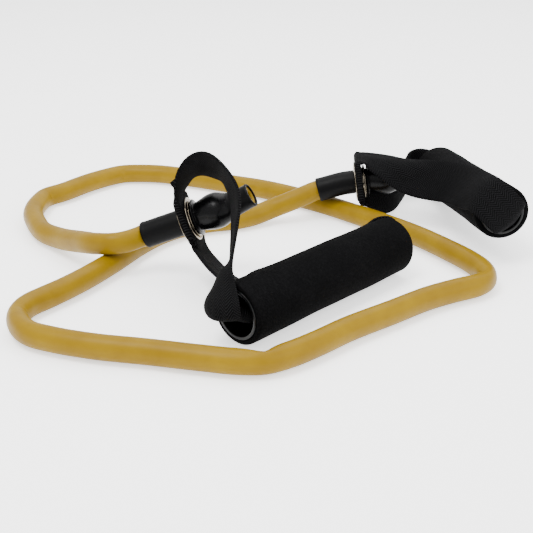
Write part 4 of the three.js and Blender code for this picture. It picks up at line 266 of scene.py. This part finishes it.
    [(28.68, 54.3, 7.74), (26.47, 59.72, 8.54), (24.78, 65.27, 10.76), (22.94, 71.06, 12.4), (20.3, 75.98, 15.4)],
    [(20.63, 52.6, 13.94), (21, 57.24, 10.81), (21.17, 63.32, 10), (20.57, 69.6, 12.17), (20.09, 74.48, 17.34)],
    [(19.39, 49.11, 15.39), (19.7, 55.35, 15.39), (20.02, 61.6, 15.39), (20.33, 67.84, 15.39), (20.65, 74.08, 15.39)],
    [(18.75, 49.14, 19.89), (19.07, 55.39, 19.89), (19.38, 61.63, 19.89), (19.7, 67.87, 19.89), (20.01, 74.11, 19.89)],
]
STRETCH_LEN = 120.0
SMOOTH_STEPS = 14
WORLD = 1.7
KEY = 12.0
FILL = 7.0
TOP = 9.0

MM = 0.001
TUBE_R = 6.25
GRIP_LEN = 120.0


def unit(v):
    v = np.asarray(v, float)
    return v / np.linalg.norm(v)


# ------------------------------------------------------------------- camera
cam_data = bpy.data.cameras.new("camera")
cam_data.lens = 67.54
cam_data.sensor_width = 36.0
cam_data.clip_start = 0.02
cam_data.clip_end = 20.0
cam = bpy.data.objects.new("camera", cam_data)
bpy.context.scene.collection.objects.link(cam)
cam.location = (CAM[0] * MM, CAM[1] * MM, CAM[2] * MM)
cam.rotation_euler = (math.radians(90 - 23.5), 0, 0)
bpy.context.scene.camera = cam


# ------------------------------------------------------------------ helpers
def mesh_object(name, verts, faces, uvs=None, smooth=True):
    me = bpy.data.meshes.new(name)
    me.from_pydata([tuple(float(c) * MM for c in v) for v in verts], [], faces)
    me.update()
    if uvs is not None:
        layer = me.uv_layers.new(name="UVMap")
        for poly in me.polygons:
            for li in poly.loop_indices:
                layer.data[li].uv = uvs[me.loops[li].vertex_index]
    if smooth:
        me.shade_smooth()
    ob = bpy.data.objects.new(name, me)
    bpy.context.scene.collection.objects.link(ob)
    return ob


def catmull(P, per, closed=False):
    P = np.asarray(P, float)
    n = len(P)
    out = []
    last = n if closed else n - 1
    for i in range(last):
        p1, p2 = P[i], P[(i + 1) % n]
        p0 = P[i - 1] if (closed or i > 0) else 2 * p1 - p2
        p3 = P[(i + 2) % n] if (closed or i < n - 2) else 2 * p2 - p1
        d = max(1e-6, np.linalg.norm(p2 - p1))
        d0 = max(1e-6, np.linalg.norm(p1 - p0))
        d3 = max(1e-6, np.linalg.norm(p3 - p2))
        m1 = ((p1 - p0) / d0 * d + (p2 - p1) / d * d0) / (d0 + d) * d
        m2 = ((p2 - p1) / d * d3 + (p3 - p2) / d3 * d) / (d3 + d) * d
        for k in range(per):
            t = k / per
            out.append((2 * t**3 - 3 * t * t + 1) * p1 + (t**3 - 2 * t * t + t) * m1
                       + (-2 * t**3 + 3 * t * t) * p2 + (t**3 - t * t) * m2)
    if not closed:
        out.append(P[-1])
    return np.array(out)


def arclen(P):
    return np.r_[0, np.cumsum(np.linalg.norm(np.diff(P, axis=0), axis=1))]


def resample(P, step):
    L = arclen(P)
    n = max(2, int(round(L[-1] / step)) + 1)
    s = np.linspace(0, L[-1], n)
    return np.stack([np.interp(s, L, P[:, k]) for k in range(3)], 1)


def tangents(P):
    T = np.gradient(P, axis=0)
    return T / np.linalg.norm(T, axis=1)[:, None]


def smooth1(A, k):
    A = np.asarray(A, float)
    if k < 1:
        return A
    w = np.hanning(2 * k + 3)[1:-1]
    w /= w.sum()
    pad = np.concatenate([np.repeat(A[:1], k, 0), A, np.repeat(A[-1:], k, 0)])
    return np.stack([np.convolve(pad[:, c], w, "valid") for c in range(A.shape[1])], 1) if A.ndim == 2 else np.convolve(pad, w, "valid")


def axis_points(axis, ts):
    pts = [np.array(p, float) for p in axis]
    L = arclen(np.array(pts))
    out = []
    for t in ts:
        i = 1
        while i < len(pts) - 1 and t > L[i]:
            i += 1
        out.append(pts[i - 1] + unit(pts[i] - pts[i - 1]) * (t - L[i - 1]))
    return np.array(out)


def soft_axis(axis, ts, k=4.0):
    """Axis points with the polyline's corners rounded over k mm each way."""
    out = np.zeros((len(ts), 3))
    for w, o in ((0.25, -k), (0.5, 0.0), (0.25, k)):
        out += w * axis_points(axis, np.asarray(ts) + o)
    return out


def swept(name, P, profile, sides=48, inner=None, offset=None, ring_phase=0.0):
    """Closed shell along P. profile(i, angles) gives the outer radii."""
    T = tangents(P)
    n = len(P)
    up = np.array([0, 0, 1.0])
    V = up[None] - (T @ up)[:, None] * T
    V /= np.linalg.norm(V, axis=1)[:, None]
    U = np.cross(T, V)
    a = np.linspace(0, 2 * np.pi, sides, endpoint=False)
    verts, faces, uvs = [], [], []
    L = arclen(P)
    ca, sa = np.cos(a), np.sin(a)
    rings = []
    for which in ((0, 1) if inner is not None else (0,)):
        base = len(verts)
        for i in range(n):
            r = profile(i, a) if which == 0 else inner(i, a)
            q = P[i][None] + (r * ca)[:, None] * U[i][None] + (r * sa)[:, None] * V[i][None]
            if offset is not None:
                q = q + offset(i, a, which)
            verts.extend(q)
            uvs.extend([(k / sides, L[i]) for k in range(sides)])
        rings.append(base)
    for which, base in enumerate(rings):
        for i in range(n - 1):
            for k in range(sides):
                k2 = (k + 1) % sides
                f = (base + i * sides + k, base + i * sides + k2, base + (i + 1) * sides + k2, base + (i + 1) * sides + k)
                faces.append(f if which == 0 else f[::-1])
    if inner is not None:
        b0, b1 = rings
        e = (n - 1) * sides
        for k in range(sides):
            k2 = (k + 1) % sides
            faces.append((b1 + k, b1 + k2, b0 + k2, b0 + k))
            faces.append((b0 + e + k, b0 + e + k2, b1 + e + k2, b1 + e + k))
    else:
        faces.append(tuple(range(sides - 1, -1, -1)))
        faces.append(tuple((n - 1) * sides + k for k in range(sides)))
    ob = mesh_object(name, verts, faces, uvs)
    fix_normals(ob)
    return ob


def fix_normals(ob):
    import bmesh
    bm = bmesh.new()
    bm.from_mesh(ob.data)
    bmesh.ops.recalc_face_normals(bm, faces=bm.faces)
    bm.to_mesh(ob.data)
    bm.free()


def turned(name, profile, origin, axis, sides=96, wobble=None):
    """Ring turned from a closed profile of (radius, height)."""
    origin = np.array(origin, float)
    ax = unit(axis)
    u = unit(np.cross(ax, [0.3, 0.2, 0.9]))
    v = np.cross(ax, u)
    m = len(profile)
    verts, faces, uvs = [], [], []
    L = arclen(np.array(profile + profile[:1], float))
    for k in range(sides):
        a = 2 * math.pi * k / sides
        for j, (r, h) in enumerate(profile):
            rr = r + (wobble(a, h, r) if wobble else 0.0)
            verts.append(origin + ax * h + rr * (math.cos(a) * u + math.sin(a) * v))
            uvs.append((a * 10, L[j]))
    for k in range(sides):
        k2 = (k + 1) % sides
        for j in range(m):
            j2 = (j + 1) % m
            faces.append((k * m + j, k2 * m + j, k2 * m + j2, k * m + j2))
    ob = mesh_object(name, verts, faces, uvs)
    fix_normals(ob)
    return ob


def rounded(profile, r=0.15, n=4):
    """Closed profile with each corner replaced by a small arc."""
    P = [np.array(p, float) for p in profile]
    out = []
    m = len(P)
    for i in range(m):
        a, b, c = P[i - 1], P[i], P[(i + 1) % m]
        d1, d2 = np.linalg.norm(a - b), np.linalg.norm(c - b)
        k = min(r, d1 * 0.45, d2 * 0.45)
        s, e = b + (a - b) / d1 * k, b + (c - b) / d2 * k
        for q in range(n + 1):
            t = q / n
            out.append(tuple((1 - t) ** 2 * s + 2 * t * (1 - t) * b + t * t * e))
    return out


# ---------------------------------------------------------------- materials
def new_mat(name):
    m = bpy.data.materials.new(name)
    m.use_nodes = True
    nt = m.node_tree
    bsdf = nt.nodes["Principled BSDF"]
    return m, nt, bsdf


def node(nt, kind, **kw):
    n = nt.nodes.new(kind)
    for k, v in kw.items():
        if k.startswith("i_"):
            n.inputs[k[2:].replace("_", " ")].default_value = v
        else:
            setattr(n, k, v)
    return n


def math_node(nt, op, a, b=None, c=None):
    n = nt.nodes.new("ShaderNodeMath")
    n.operation = op
    for i, x in enumerate((a, b, c)):
        if x is None:
            continue
        if isinstance(x, (int, float)):
            n.inputs[i].default_value = x
        else:
            nt.links.new(x, n.inputs[i])
    return n.outputs[0]


def noise(nt, scale, detail=4, rough=0.55, vec=None):
    n = nt.nodes.new("ShaderNodeTexNoise")
    n.inputs["Scale"].default_value = scale
    n.inputs["Detail"].default_value = detail
    n.inputs["Roughness"].default_value = rough
    if vec is None:
        tc = nt.nodes.new("ShaderNodeTexCoord")
        vec = tc.outputs["Object"]
    nt.links.new(vec, n.inputs["Vector"])
    return n.outputs["Fac"]


def ramp(nt, fac, stops):
    r = nt.nodes.new("ShaderNodeValToRGB")
    el = r.color_ramp.elements
    while len(el) < len(stops):
        el.new(0.5)
    for e, (p, c) in zip(el, stops):
        e.position = p
        e.color = (*c, 1) if len(c) == 3 else c
    nt.links.new(fac, r.inputs["Fac"])
    return r.outputs["Color"]


def bump(nt, bsdf, height, strength, distance):
    b = nt.nodes.new("ShaderNodeBump")
    b.inputs["Strength"].default_value = strength
    b.inputs["Distance"].default_value = distance
    nt.links.new(height, b.inputs["Height"])
    nt.links.new(b.outputs["Normal"], bsdf.inputs["Normal"])
    return b


def to_range(nt, fac, lo, hi):
    n = nt.nodes.new("ShaderNodeMapRange")
    n.inputs["To Min"].default_value = lo
    n.inputs["To Max"].default_value = hi
    nt.links.new(fac, n.inputs["Value"])
    return n.outputs["Result"]


def mat_tube():
    m, nt, b = new_mat("tube_rubber")
    f = noise(nt, 60, 4)
    nt.links.new(ramp(nt, f, [(0.3, (0.155, 0.088, 0.0)), (0.7, (0.195, 0.117, 0.0))]), b.inputs["Base Color"])
    r = noise(nt, 220, 3)
    nt.links.new(to_range(nt, r, 0.34, 0.5), b.inputs["Roughness"])
    b.inputs["Specular IOR Level"].default_value = 0.11
    b.inputs["Subsurface Weight"].default_value = 0.0
    b.inputs["Subsurface Radius"].default_value = (0.9, 0.5, 0.1)
    b.inputs["Subsurface Scale"].default_value = 0.004
    bump(nt, b, noise(nt, 500, 4), 0.12, 0.0006)
    return m


def mat_vinyl(name, rough, base, spec):
    m, nt, b = new_mat(name)
    f = noise(nt, 90, 4)
    nt.links.new(ramp(nt, f, [(0.3, tuple(0.85 * c for c in base)), (0.7, tuple(1.2 * c for c in base))]), b.inputs["Base Color"])
    r = noise(nt, 300, 4)
    nt.links.new(to_range(nt, r, rough * 0.8, rough * 1.25), b.inputs["Roughness"])
    b.inputs["Specular IOR Level"].default_value = spec
    bump(nt, b, noise(nt, 900, 4), 0.08, 0.0004)
    return m


def mat_metal():
    m, nt, b = new_mat("eyelet_nickel")
    b.inputs["Metallic"].default_value = 1.0
    f = noise(nt, 260, 5)
    nt.links.new(ramp(nt, f, [(0.3, (0.17, 0.145, 0.105)), (0.7, (0.28, 0.25, 0.2))]), b.inputs["Base Color"])
    nt.links.new(to_range(nt, noise(nt, 600, 4), 0.10, 0.26), b.inputs["Roughness"])
    bump(nt, b, noise(nt, 1500, 3), 0.06, 0.0003)
    return m


def mat_webbing():
    """Herringbone polyester webbing; the UV map holds millimetres across and along."""
    m, nt, b = new_mat("webbing_herringbone")
    uv = nt.nodes.new("ShaderNodeUVMap")
    uv.uv_map = "UVMap"
    sep = nt.nodes.new("ShaderNodeSeparateXYZ")
    nt.links.new(uv.outputs["UV"], sep.inputs["Vector"])
    u, v = sep.outputs["X"], sep.outputs["Y"]
    zig = math_node(nt, "PINGPONG", u, 3.1)
    along = math_node(nt, "ADD", v, math_node(nt, "MULTIPLY", zig, 1.15))
    ribs = math_node(nt, "SINE", math_node(nt, "MULTIPLY", along, 2 * math.pi / 1.55))
    warp = math_node(nt, "SINE", math_node(nt, "MULTIPLY", u, 2 * math.pi / 0.78))
    h = math_node(nt, "ADD", math_node(nt, "MULTIPLY", ribs, 0.72), math_node(nt, "MULTIPLY", warp, 0.28))
    h01 = math_node(nt, "MULTIPLY_ADD", h, 0.5, 0.5)
    fz = noise(nt, 1400, 3)
    hh = math_node(nt, "ADD", math_node(nt, "MULTIPLY", h01, 0.85), math_node(nt, "MULTIPLY", fz, 0.3))
    # colour follows the weave height: the grooves carry painted shade and the rib tops a painted sheen, on top of the
    # bump from the same height
    nt.links.new(ramp(nt, hh, [(0.25, (0.0004, 0.0004, 0.0005)), (0.6, (0.0016, 0.0016, 0.0018)), (0.95, (0.0125, 0.0125, 0.0132))]), b.inputs["Base Color"])
    b.inputs["Roughness"].default_value = 0.78
    b.inputs["Specular IOR Level"].default_value = 0.025
    b.inputs["Sheen Weight"].default_value = 0.0
    b.inputs["Sheen Roughness"].default_value = 0.5
    bump(nt, b, hh, 0.9, 0.00035)
    return m


def mat_foam():
    m, nt, b = new_mat("grip_foam")
    f = noise(nt, 900, 6, 0.7)
    g = noise(nt, 45, 4)
    mix = math_node(nt, "ADD", math_node(nt, "MULTIPLY", f, 0.7), math_node(nt, "MULTIPLY", g, 0.3))
    nt.links.new(ramp(nt, mix, [(0.32, (0.0010, 0.0010, 0.0011)), (0.5, (0.0022, 0.0022, 0.0024)), (0.7, (0.005, 0.005, 0.0053))]), b.inputs["Base Color"])
    b.inputs["Roughness"].default_value = 0.93
    b.inputs["Specular IOR Level"].default_value = 0.025
    v = nt.nodes.new("ShaderNodeTexVoronoi")
    v.inputs["Scale"].default_value = 1500
    tc = nt.nodes.new("ShaderNodeTexCoord")
    nt.links.new(tc.outputs["Object"], v.inputs["Vector"])
    hh = math_node(nt, "ADD", math_node(nt, "MULTIPLY", f, 0.8), math_node(nt, "MULTIPLY", v.outputs["Distance"], 0.6))
    bump(nt, b, hh, 0.55, 0.0007)
    return m


def mat_plastic(name, base, rough):
    m, nt, b = new_mat(name)
    f = noise(nt, 150, 4)
    nt.links.new(ramp(nt, f, [(0.3, tuple(0.8 * c for c in base)), (0.7, tuple(1.2 * c for c in base))]), b.inputs["Base Color"])
    nt.links.new(to_range(nt, noise(nt, 500, 3), rough * 0.8, rough * 1.3), b.inputs["Roughness"])
    b.inputs["Specular IOR Level"].default_value = 0.2
    return m


TUBE_MAT = mat_tube()
VINYL_MAT = mat_vinyl("vinyl_matte", 0.45, (0.0012, 0.0012, 0.0014), 0.07)
GLOSS_MAT = mat_vinyl("vinyl_gloss", 0.27, (0.0008, 0.0008, 0.001), 0.11)
METAL_MAT = mat_metal()
WEB_MAT = mat_webbing()
FOAM_MAT = mat_foam()
CORE_MAT = mat_plastic("core_plastic", (0.0015, 0.0015, 0.0018), 0.3)
PLUG_MAT = mat_plastic("plug_plastic", (0.03, 0.03, 0.03), 0.4)

# ---------------------------------------------------------------- the tube
COVER = [(0, 7.2), (30.5, 7.2), (35.5, 8.6), (40, 9.7), (44, 9.7), (48, 8.2), (50.5, 7.3), (52, 6.8), (57, 6.4), (63.5, 6.4)]
COVER_T = [c[0] for c in COVER]
COVER_R = [c[1] for c in COVER]
TUBE_END = 62.6


def cover_r(t):
    """Smoothed cover radius at distance t from the mouth."""
    t = np.asarray(t, float)
    s = np.zeros_like(t)
    for w, o in ((0.12, -1.6), (0.22, -0.8), (0.32, 0), (0.22, 0.8), (0.12, 1.6)):
        s += w * np.interp(t + o, COVER_T, COVER_R)
    return s


tin = np.linspace(0, TUBE_END, 64)
near_in = soft_axis(NEAR_AXIS, tin)[::-1]
far_in = soft_axis(FAR_AXIS, tin)
guide = np.array(ROUTE, float)
# the corners of the tube are folded a little harder than the guide route
for idx, dx, dy in ((26, 1.0, 0.0), (27, 2.6, 0.6), (28, 3.2, 0.0), (29, 1.6, -0.8), (42, -1.8, -0.6), (43, -2.6, 0.0), (44, -2.8, 0.0), (45, -2.2, 0.8),
                    (8, -0.8, 0.0), (9, -0.6, 0.6), (10, -1.2, 1.0), (14, 0.0, 1.2)):
    guide[idx, 0] += dx
    guide[idx, 1] += dy
route = catmull(guide, 6)
middle = np.vstack([axis_points(NEAR_AXIS, [-1.5]), route, axis_points(FAR_AXIS, [-1.5])])
free = resample(catmull(middle, 3), 2.2)
free = smooth1(free, 2)
P = np.vstack([near_in, free, far_in])
kind = np.r_[tin[::-1], -np.ones(len(free)), tin]
R0 = np.where(kind < 0, TUBE_R, np.where(kind < 29, 6.05, cover_r(np.maximum(kind, 0)) - 1.15))
R0 = smooth1(R0, 1)
bore = np.where(kind > 31, np.maximum(3.3, np.minimum(R0 - 1.9, 6.7)), 3.6)
free_from, free_to = len(near_in), len(near_in) + len(free)
T = tangents(P)
Lt = arclen(P)
# how sharply the tube turns, used to flatten it at its kinks
turn = np.r_[0, np.arccos(np.clip((T[1:] * T[:-1]).sum(1), -1, 1)) / np.maximum(np.diff(Lt), 0.3)]
turn = smooth1(turn, 5)
turn[:free_from] = 0
turn[free_to:] = 0
kink = np.clip((turn - 0.018) / 0.05, 0, 1)
# buckled places: guide point, how deep the inner side is pushed in, half width in mm
KINKS = []
for idx, deep, half in ((36, 0.50, 6.5), (28, 0.34, 7.0), (44, 0.32, 7.0), (10, 0.30, 7.0), (14, 0.16, 6.0), (46, 0.16, 6.0), (3, 0.10, 8.0)):
    q = free_from + int(np.argmin(np.linalg.norm(P[free_from:free_to] - guide[idx], axis=1)))
    bend = T[min(q + 5, len(T) - 1)] - T[q - 5]
    side = np.cross(T[q], [0, 0, 1.0])
    KINKS.append((Lt[q], deep, half, 1.0 if bend @ side > 0 else -1.0))


def tube_profile(i, a):
    r = np.full(len(a), R0[i])
    k = kink[i]
    if k > 0:
        # narrower in the plane of the bend, where the wall buckles
        r = R0[i] * (1 - 0.12 * k * np.abs(np.cos(a)) ** 1.5) * (1 - 0.03 * k * np.cos(4 * a + 0.6))
    for at, deep, half, sgn in KINKS:
        g = math.exp(-((Lt[i] - at) / half) ** 2)
        if g > 0.01:
            inner = np.clip(np.cos(a) * sgn * 0.86 + np.sin(a) * 0.5, 0, 1)
            crease = math.exp(-((Lt[i] - at) / (0.35 * half)) ** 2)
            r = r * (1 - deep * (0.55 * g + 0.45 * crease) * inner ** 1.6)
            r = r * (1 + 0.05 * g * np.clip(-np.cos(a) * sgn, 0, 1))
    wave = 0.16 * math.sin(Lt[i] * 0.031 + 0.8) + 0.10 * math.sin(Lt[i] * 0.083)
    if free_from < i < free_to:
        r = r - 0.12 + 0.5 * wave * np.cos(2 * a + 0.004 * Lt[i])
    return np.maximum(r, bore[i] + 0.5)


def tube_offset(i, a, which):
    return np.zeros(3)


KIN = np.zeros(len(P))
for at, deep, half, sgn in KINKS:
    KIN = np.maximum(KIN, np.where(np.abs(Lt - at) < 2.2 * half, deep, 0))
bore = np.where(KIN > 0.05, 1.6, bore)


tube = swept("tube_rubber", P, tube_profile, sides=40, inner=lambda i, a: np.full(len(a), bore[i] if KIN[i] < 0.05 else 1.6))
tube.data.materials.append(TUBE_MAT)
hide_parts("tube")
s_end = P[-1] * MM
s_start = P[free_to - 220] * MM
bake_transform(tube, "band", "far_end", tuple(s_start), tuple(s_end))
# the stretch is shared out along the last part of the tube, by length
attr = tube.data.attributes.get("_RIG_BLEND")
if attr is not None:
    sides = 40
    start_s, end_s = Lt[free_to] - STRETCH_LEN, Lt[free_to]
    w = np.clip((Lt - start_s) / (end_s - start_s), 0, 1)
    per = np.repeat(w, sides)
    vals = np.concatenate([per, per]).astype(np.float32)
    attr.data.foreach_set("value", vals[: len(tube.data.vertices)])

# ------------------------------------------------------------- end sleeves


def sleeve(prefix, axis, body):
    ts = np.r_[np.arange(0, 28.0, 1.0), np.arange(28.0, 34.0, 0.2), np.arange(34.0, 63.6, 0.5)]
    C = soft_axis(axis, ts)
    wall = 0.95
    ro = cover_r(ts)
    # small moulded bead at the mouth and a crisp lip at the bulb side
    ro = ro + 0.25 * np.exp(-((ts - 0.6) / 0.7) ** 2) + 0.18 * np.exp(-((ts - 62.9) / 0.6) ** 2)
    # folded lip where the cover is pressed against the eyelet
    ro = ro + 2.7 * np.exp(-((ts - 31.15) / 0.45) ** 4)
    ro[0] -= 0.25
    ro[-1] -= 0.25
    phase = 1.3 if prefix == "near_" else 2.4

    def outer(i, a):
        t = ts[i]
        g = np.exp(-((t - 42) / 7.0) ** 2)
        # soft dents of the stretched bulb and slight folds next to it
        dent = 0.20 * g * np.cos(2 * a + phase) + 0.12 * g * np.cos(3 * a + 0.7)
        fold = 0.16 * np.exp(-((t - 49.8) / 1.1) ** 2) * (1 + 0.4 * np.cos(2 * a))
        return ro[i] + dent - fold

    ob = swept(prefix + "cover_vinyl", C, outer, sides=64, inner=lambda i, a: np.full(len(a), cover_r(ts)[i] - wall))
    ob.data.materials.append(VINYL_MAT)
    ob.data.materials.append(GLOSS_MAT)
    sides = 64
    nring = len(ts)
    for p in ob.data.polygons:
        vi = min(p.vertices)
        ring = (vi % (nring * sides)) // sides
        t = ts[ring]
        p.material_index = 1 if 30.0 < t < 50.5 else 0
    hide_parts(prefix + "cover_sleeve")
    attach(ob, body)
    return ob


sleeve("near_", NEAR_AXIS, "band")
sleeve("far_", FAR_AXIS, "far_end")


# ----------------------------------------------------------------- eyelets
def eyelet(prefix, axis, body):
    c = axis_points(axis, [26.2])[0]
    d = unit(axis_points(axis, [27.2])[0] - c)
    fl = [(7.7, -2.75), (8.3, -3.25), (10.4, -3.05), (12.0, -2.55), (12.3, -2.3), (12.05, -2.05), (11.0, -2.2), (9.0, -2.25), (8.3, -2.0),
          (8.3, 3.0), (8.6, 3.25), (9.3, 3.2), (9.9, 3.3), (9.95, 3.6), (9.4, 3.85), (8.4, 3.95), (7.85, 3.7), (7.7, 3.2)]
    ob = turned(prefix + "eyelet_metal", rounded(fl, 0.2, 3), c, d, sides=96)
    ob.data.materials.append(METAL_MAT)
    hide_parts(prefix + "grommet")
    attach(ob, body)
    ws = [(8.62, 2.3), (10.5, 2.32), (11.6, 2.35), (12.0, 2.6), (11.75, 2.95), (10.9, 3.1), (10.2, 2.95), (8.62, 2.85)]
    w = turned(prefix + "washer_metal", rounded(ws, 0.15, 3), c, d, sides=96)
    w.data.materials.append(METAL_MAT)
    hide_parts(prefix + "grommet_washer")
    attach(w, body)


eyelet("near_", NEAR_AXIS, "near_eyelet")
eyelet("far_", FAR_AXIS, "far_eyelet")


# ----------------------------------------------------------------- webbing
def webbing(prefix, rows, axis, body, flap):
    X = np.array(rows, float)
    n, m = X.shape[:2]
    c = axis_points(axis, [26.2])[0]
    ax = unit(axis_points(axis, [27.2])[0] - c)
    # finer rows along, then finer across
    along = np.stack([catmull(X[:, j], 5, closed=True) for j in range(m)], 1)
    N = len(along)
    across = 24
    fine = np.zeros((N, across + 1, 3))
    for i in range(N):
        cc = catmull(along[i], across // (m - 1))
        fine[i] = cc
    # light smoothing along the loop, away from the eyelet
    for _ in range(SMOOTH_STEPS):
        sm = (np.roll(fine, 1, 0) + 2 * fine + np.roll(fine, -1, 0)) / 4
        keep = (np.abs((fine - c) @ ax) < 0.4) & (np.linalg.norm(fine - c, axis=2) < 18)
        fine = np.where(keep[..., None], fine, sm)
    t = np.roll(fine, -1, 0) - np.roll(fine, 1, 0)
    w = np.gradient(fine, axis=1)
    nr = np.cross(t, w)
    nr /= np.linalg.norm(nr, axis=2)[..., None]
    s = np.r_[0, np.cumsum(np.linalg.norm(np.roll(fine[:, across // 2], -1, 0) - fine[:, across // 2], axis=1))]
    inside = (np.abs((fine - c) @ ax) < 0.5) & (np.linalg.norm(fine - c, axis=2) < 18)
    half = np.where(inside, 1.95, 0.85)
    for _ in range(4):
        half = (np.roll(half, 1, 0) + 2 * half + np.roll(half, -1, 0)) / 4
    # the selvedge is thinner and slightly toothed
    e = np.minimum(np.arange(across + 1), across - np.arange(across + 1))
    half = half * np.where(e[None] == 0, 0.62, np.where(e[None] == 1, 0.93, 1.0))
    tooth = 0.16 * np.sin(2 * np.pi * s[:N] / 1.55)
    wd = w / np.linalg.norm(w, axis=2)[..., None]
    fine[:, 0] -= wd[:, 0] * tooth[:, None]
    fine[:, -1] += wd[:, -1] * tooth[:, None]
    A = fine + nr * half[..., None]
    B = fine - nr * half[..., None]
    verts, uvs, faces = [], [], []
    cols = across + 1
    for i in range(N):
        for side, S in ((0, A), (1, B)):
            for j in range(cols):
                verts.append(S[i, j])
                uvs.append((25.0 * j / across, s[i]))
    # a last row repeats the first so that the weave does not jump
    base = len(verts)
    for side, S in ((0, A), (1, B)):
        for j in range(cols):
            verts.append(S[0, j])
            uvs.append((25.0 * j / across, s[N]))

    def at(i, side, j):
        return (base if i == N else i * 2 * cols) + side * cols + j

    hole = {}
    rad = np.linalg.norm((fine - c) - ((fine - c) @ ax)[..., None] * ax, axis=2)
    inhole = (rad < 8.6) & (np.abs((fine - c) @ ax) < 2.0)
    for i in range(N):
        i2 = i + 1
        for j in range(across):
            if inhole[i, j] and inhole[i, j + 1] and inhole[i2 % N, j] and inhole[i2 % N, j + 1]:
                continue
            faces.append((at(i, 0, j), at(i, 0, j + 1), at(i2, 0, j + 1), at(i2, 0, j)))
            faces.append((at(i, 1, j + 1), at(i, 1, j), at(i2, 1, j), at(i2, 1, j + 1)))
        faces.append((at(i, 1, 0), at(i, 0, 0), at(i2, 0, 0), at(i2, 1, 0)))
        faces.append((at(i, 0, across), at(i, 1, across), at(i2, 1, across), at(i2, 0, across)))
    ob = mesh_object(prefix + "webbing_loop", verts, faces, uvs)
    ob.data.materials.append(WEB_MAT)
    length = float(s[N])
    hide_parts(prefix + "strap")
    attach(ob, body)
    return ob, length


near_web, near_len = webbing("near_", NEAR_WEB, NEAR_AXIS, "near_loop", None)
far_web, far_len = webbing("far_", FAR_WEB, FAR_AXIS, "far_loop", None)


# small sewn hem that stands out of the near stack
def hem(name, outline, depth, thick, body):
    """Flat tab cut to an outline of view-independent points, given two corner rows."""
    pts = np.array(outline, float)
    d = np.array(depth, float)
    d = d / np.linalg.norm(d) * thick
    cen = pts.mean(0)
    rim = pts + (cen - pts) * 0.10
    layers = [rim - d * 0.5, pts - d * 0.32, pts + d * 0.32, rim + d * 0.5]
    n = len(pts)
    verts = [v for lay in layers for v in lay]
    faces = [tuple(range(n - 1, -1, -1)), tuple(3 * n + k for k in range(n))]
    for q in range(3):
        for k in range(n):
            k2 = (k + 1) % n
            faces.append((q * n + k, q * n + k2, (q + 1) * n + k2, (q + 1) * n + k))
    uv = [(v[1] * 1.0, v[2] * 1.0) for v in verts]
    ob = mesh_object(name, verts, faces, uv, smooth=False)
    fix_normals(ob)
    ob.data.materials.append(WEB_MAT)
    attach(ob, body)
    return ob


hem("near_hem_flap", HEM, (0.2, 0.9, -0.3), 1.7, "near_loop")


# ------------------------------------------------------------------- grips
def grip(prefix, a, b, body, seed):
    a = np.array(a, float)
    ax = unit(np.array(b, float) - a)
    L = GRIP_LEN
    core = [(11.0, 0.15), (11.3, -0.05), (12.2, -0.05), (12.55, 0.2), (12.55, L - 0.2), (12.2, L + 0.05), (11.3, L + 0.05), (11.0, L - 0.15)]
    ob = turned(prefix + "core_tube", rounded(core, 0.2, 3), a, ax, sides=96)
    ob.data.materials.append(CORE_MAT)
    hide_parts(prefix + "grip_core")
    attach(ob, body)
    hs = list(np.linspace(1.6, L - 1.6, 46))
    prof = [(12.75, 0.9), (13.1, 0.35), (14.0, 0.3), (14.9, 0.5), (15.35, 0.95)] + [(15.5, h) for h in hs] + \
           [(15.35, L - 0.95), (14.9, L - 0.5), (14.0, L - 0.3), (13.1, L - 0.35), (12.75, L - 0.9)]
    prof += [(12.75, h) for h in hs[::-6]]

    def wob(ang, h, r):
        if r < 13.5:
            return 0.0
        return -0.22 + 0.18 * math.sin(2 * ang + seed + h * 0.03) * math.sin(h * 0.055 + seed) \
            + 0.12 * math.sin(3 * ang - h * 0.08 + seed) + 0.05 * math.sin(h * 0.21 + ang + seed)

    f = turned(prefix + "foam_sleeve", prof, a, ax, sides=96, wobble=wob)
    f.data.materials.append(FOAM_MAT)
    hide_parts(prefix + "grip_foam")
    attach(f, body)


grip("near_", NEAR_GRIP_FROM, NEAR_GRIP_TO, "near_grip", 0.4)
grip("far_", FAR_GRIP_FROM, FAR_GRIP_TO, "far_grip", 2.1)

for nd in ("near_plug", "far_plug"):
    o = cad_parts[nd]
    o.data.materials.clear()
    o.data.materials.append(PLUG_MAT)

# ------------------------------------------------------------ floor, lights
floor = mesh_object("floor", [(-3000, -3000, -0.4), (3000, -3000, -0.4), (3000, 3000, -0.4), (-3000, 3000, -0.4)], [(0, 1, 2, 3)], smooth=False)
fm, fnt, fb_ = new_mat("floor_white")
fb_.inputs["Base Color"].default_value = (0.92, 0.92, 0.92, 1)
fb_.inputs["Roughness"].default_value = 0.8
fb_.inputs["Specular IOR Level"].default_value = 0.1
fb_.inputs["Emission Color"].default_value = (1, 1, 1, 1)
fb_.inputs["Emission Strength"].default_value = 1.1
floor.data.materials.append(fm)

world = bpy.data.worlds.new("studio")
bpy.context.scene.world = world
world.use_nodes = True
bg = world.node_tree.nodes["Background"]
bg.inputs["Color"].default_value = (1, 1, 1, 1)
bg.inputs["Strength"].default_value = WORLD


def area(name, loc, target, size, power):
    ld = bpy.data.lights.new(name, "AREA")
    ld.shape = "RECTANGLE"
    ld.size, ld.size_y = size
    ld.energy = power
    ob = bpy.data.objects.new(name, ld)
    bpy.context.scene.collection.objects.link(ob)
    ob.location = loc
    d = Vector(target) - Vector(loc)
    ob.rotation_euler = d.to_track_quat("-Z", "Y").to_euler()
    return ob


area("key", (-0.35, -0.25, 0.95), (0, 0, 0), (0.45, 0.45), KEY)
area("fill", (0.7, -0.5, 0.7), (0, 0, 0), (0.8, 0.8), FILL)
area("top", (0.1, 0.5, 1.0), (0, 0, 0), (0.9, 0.9), TOP)
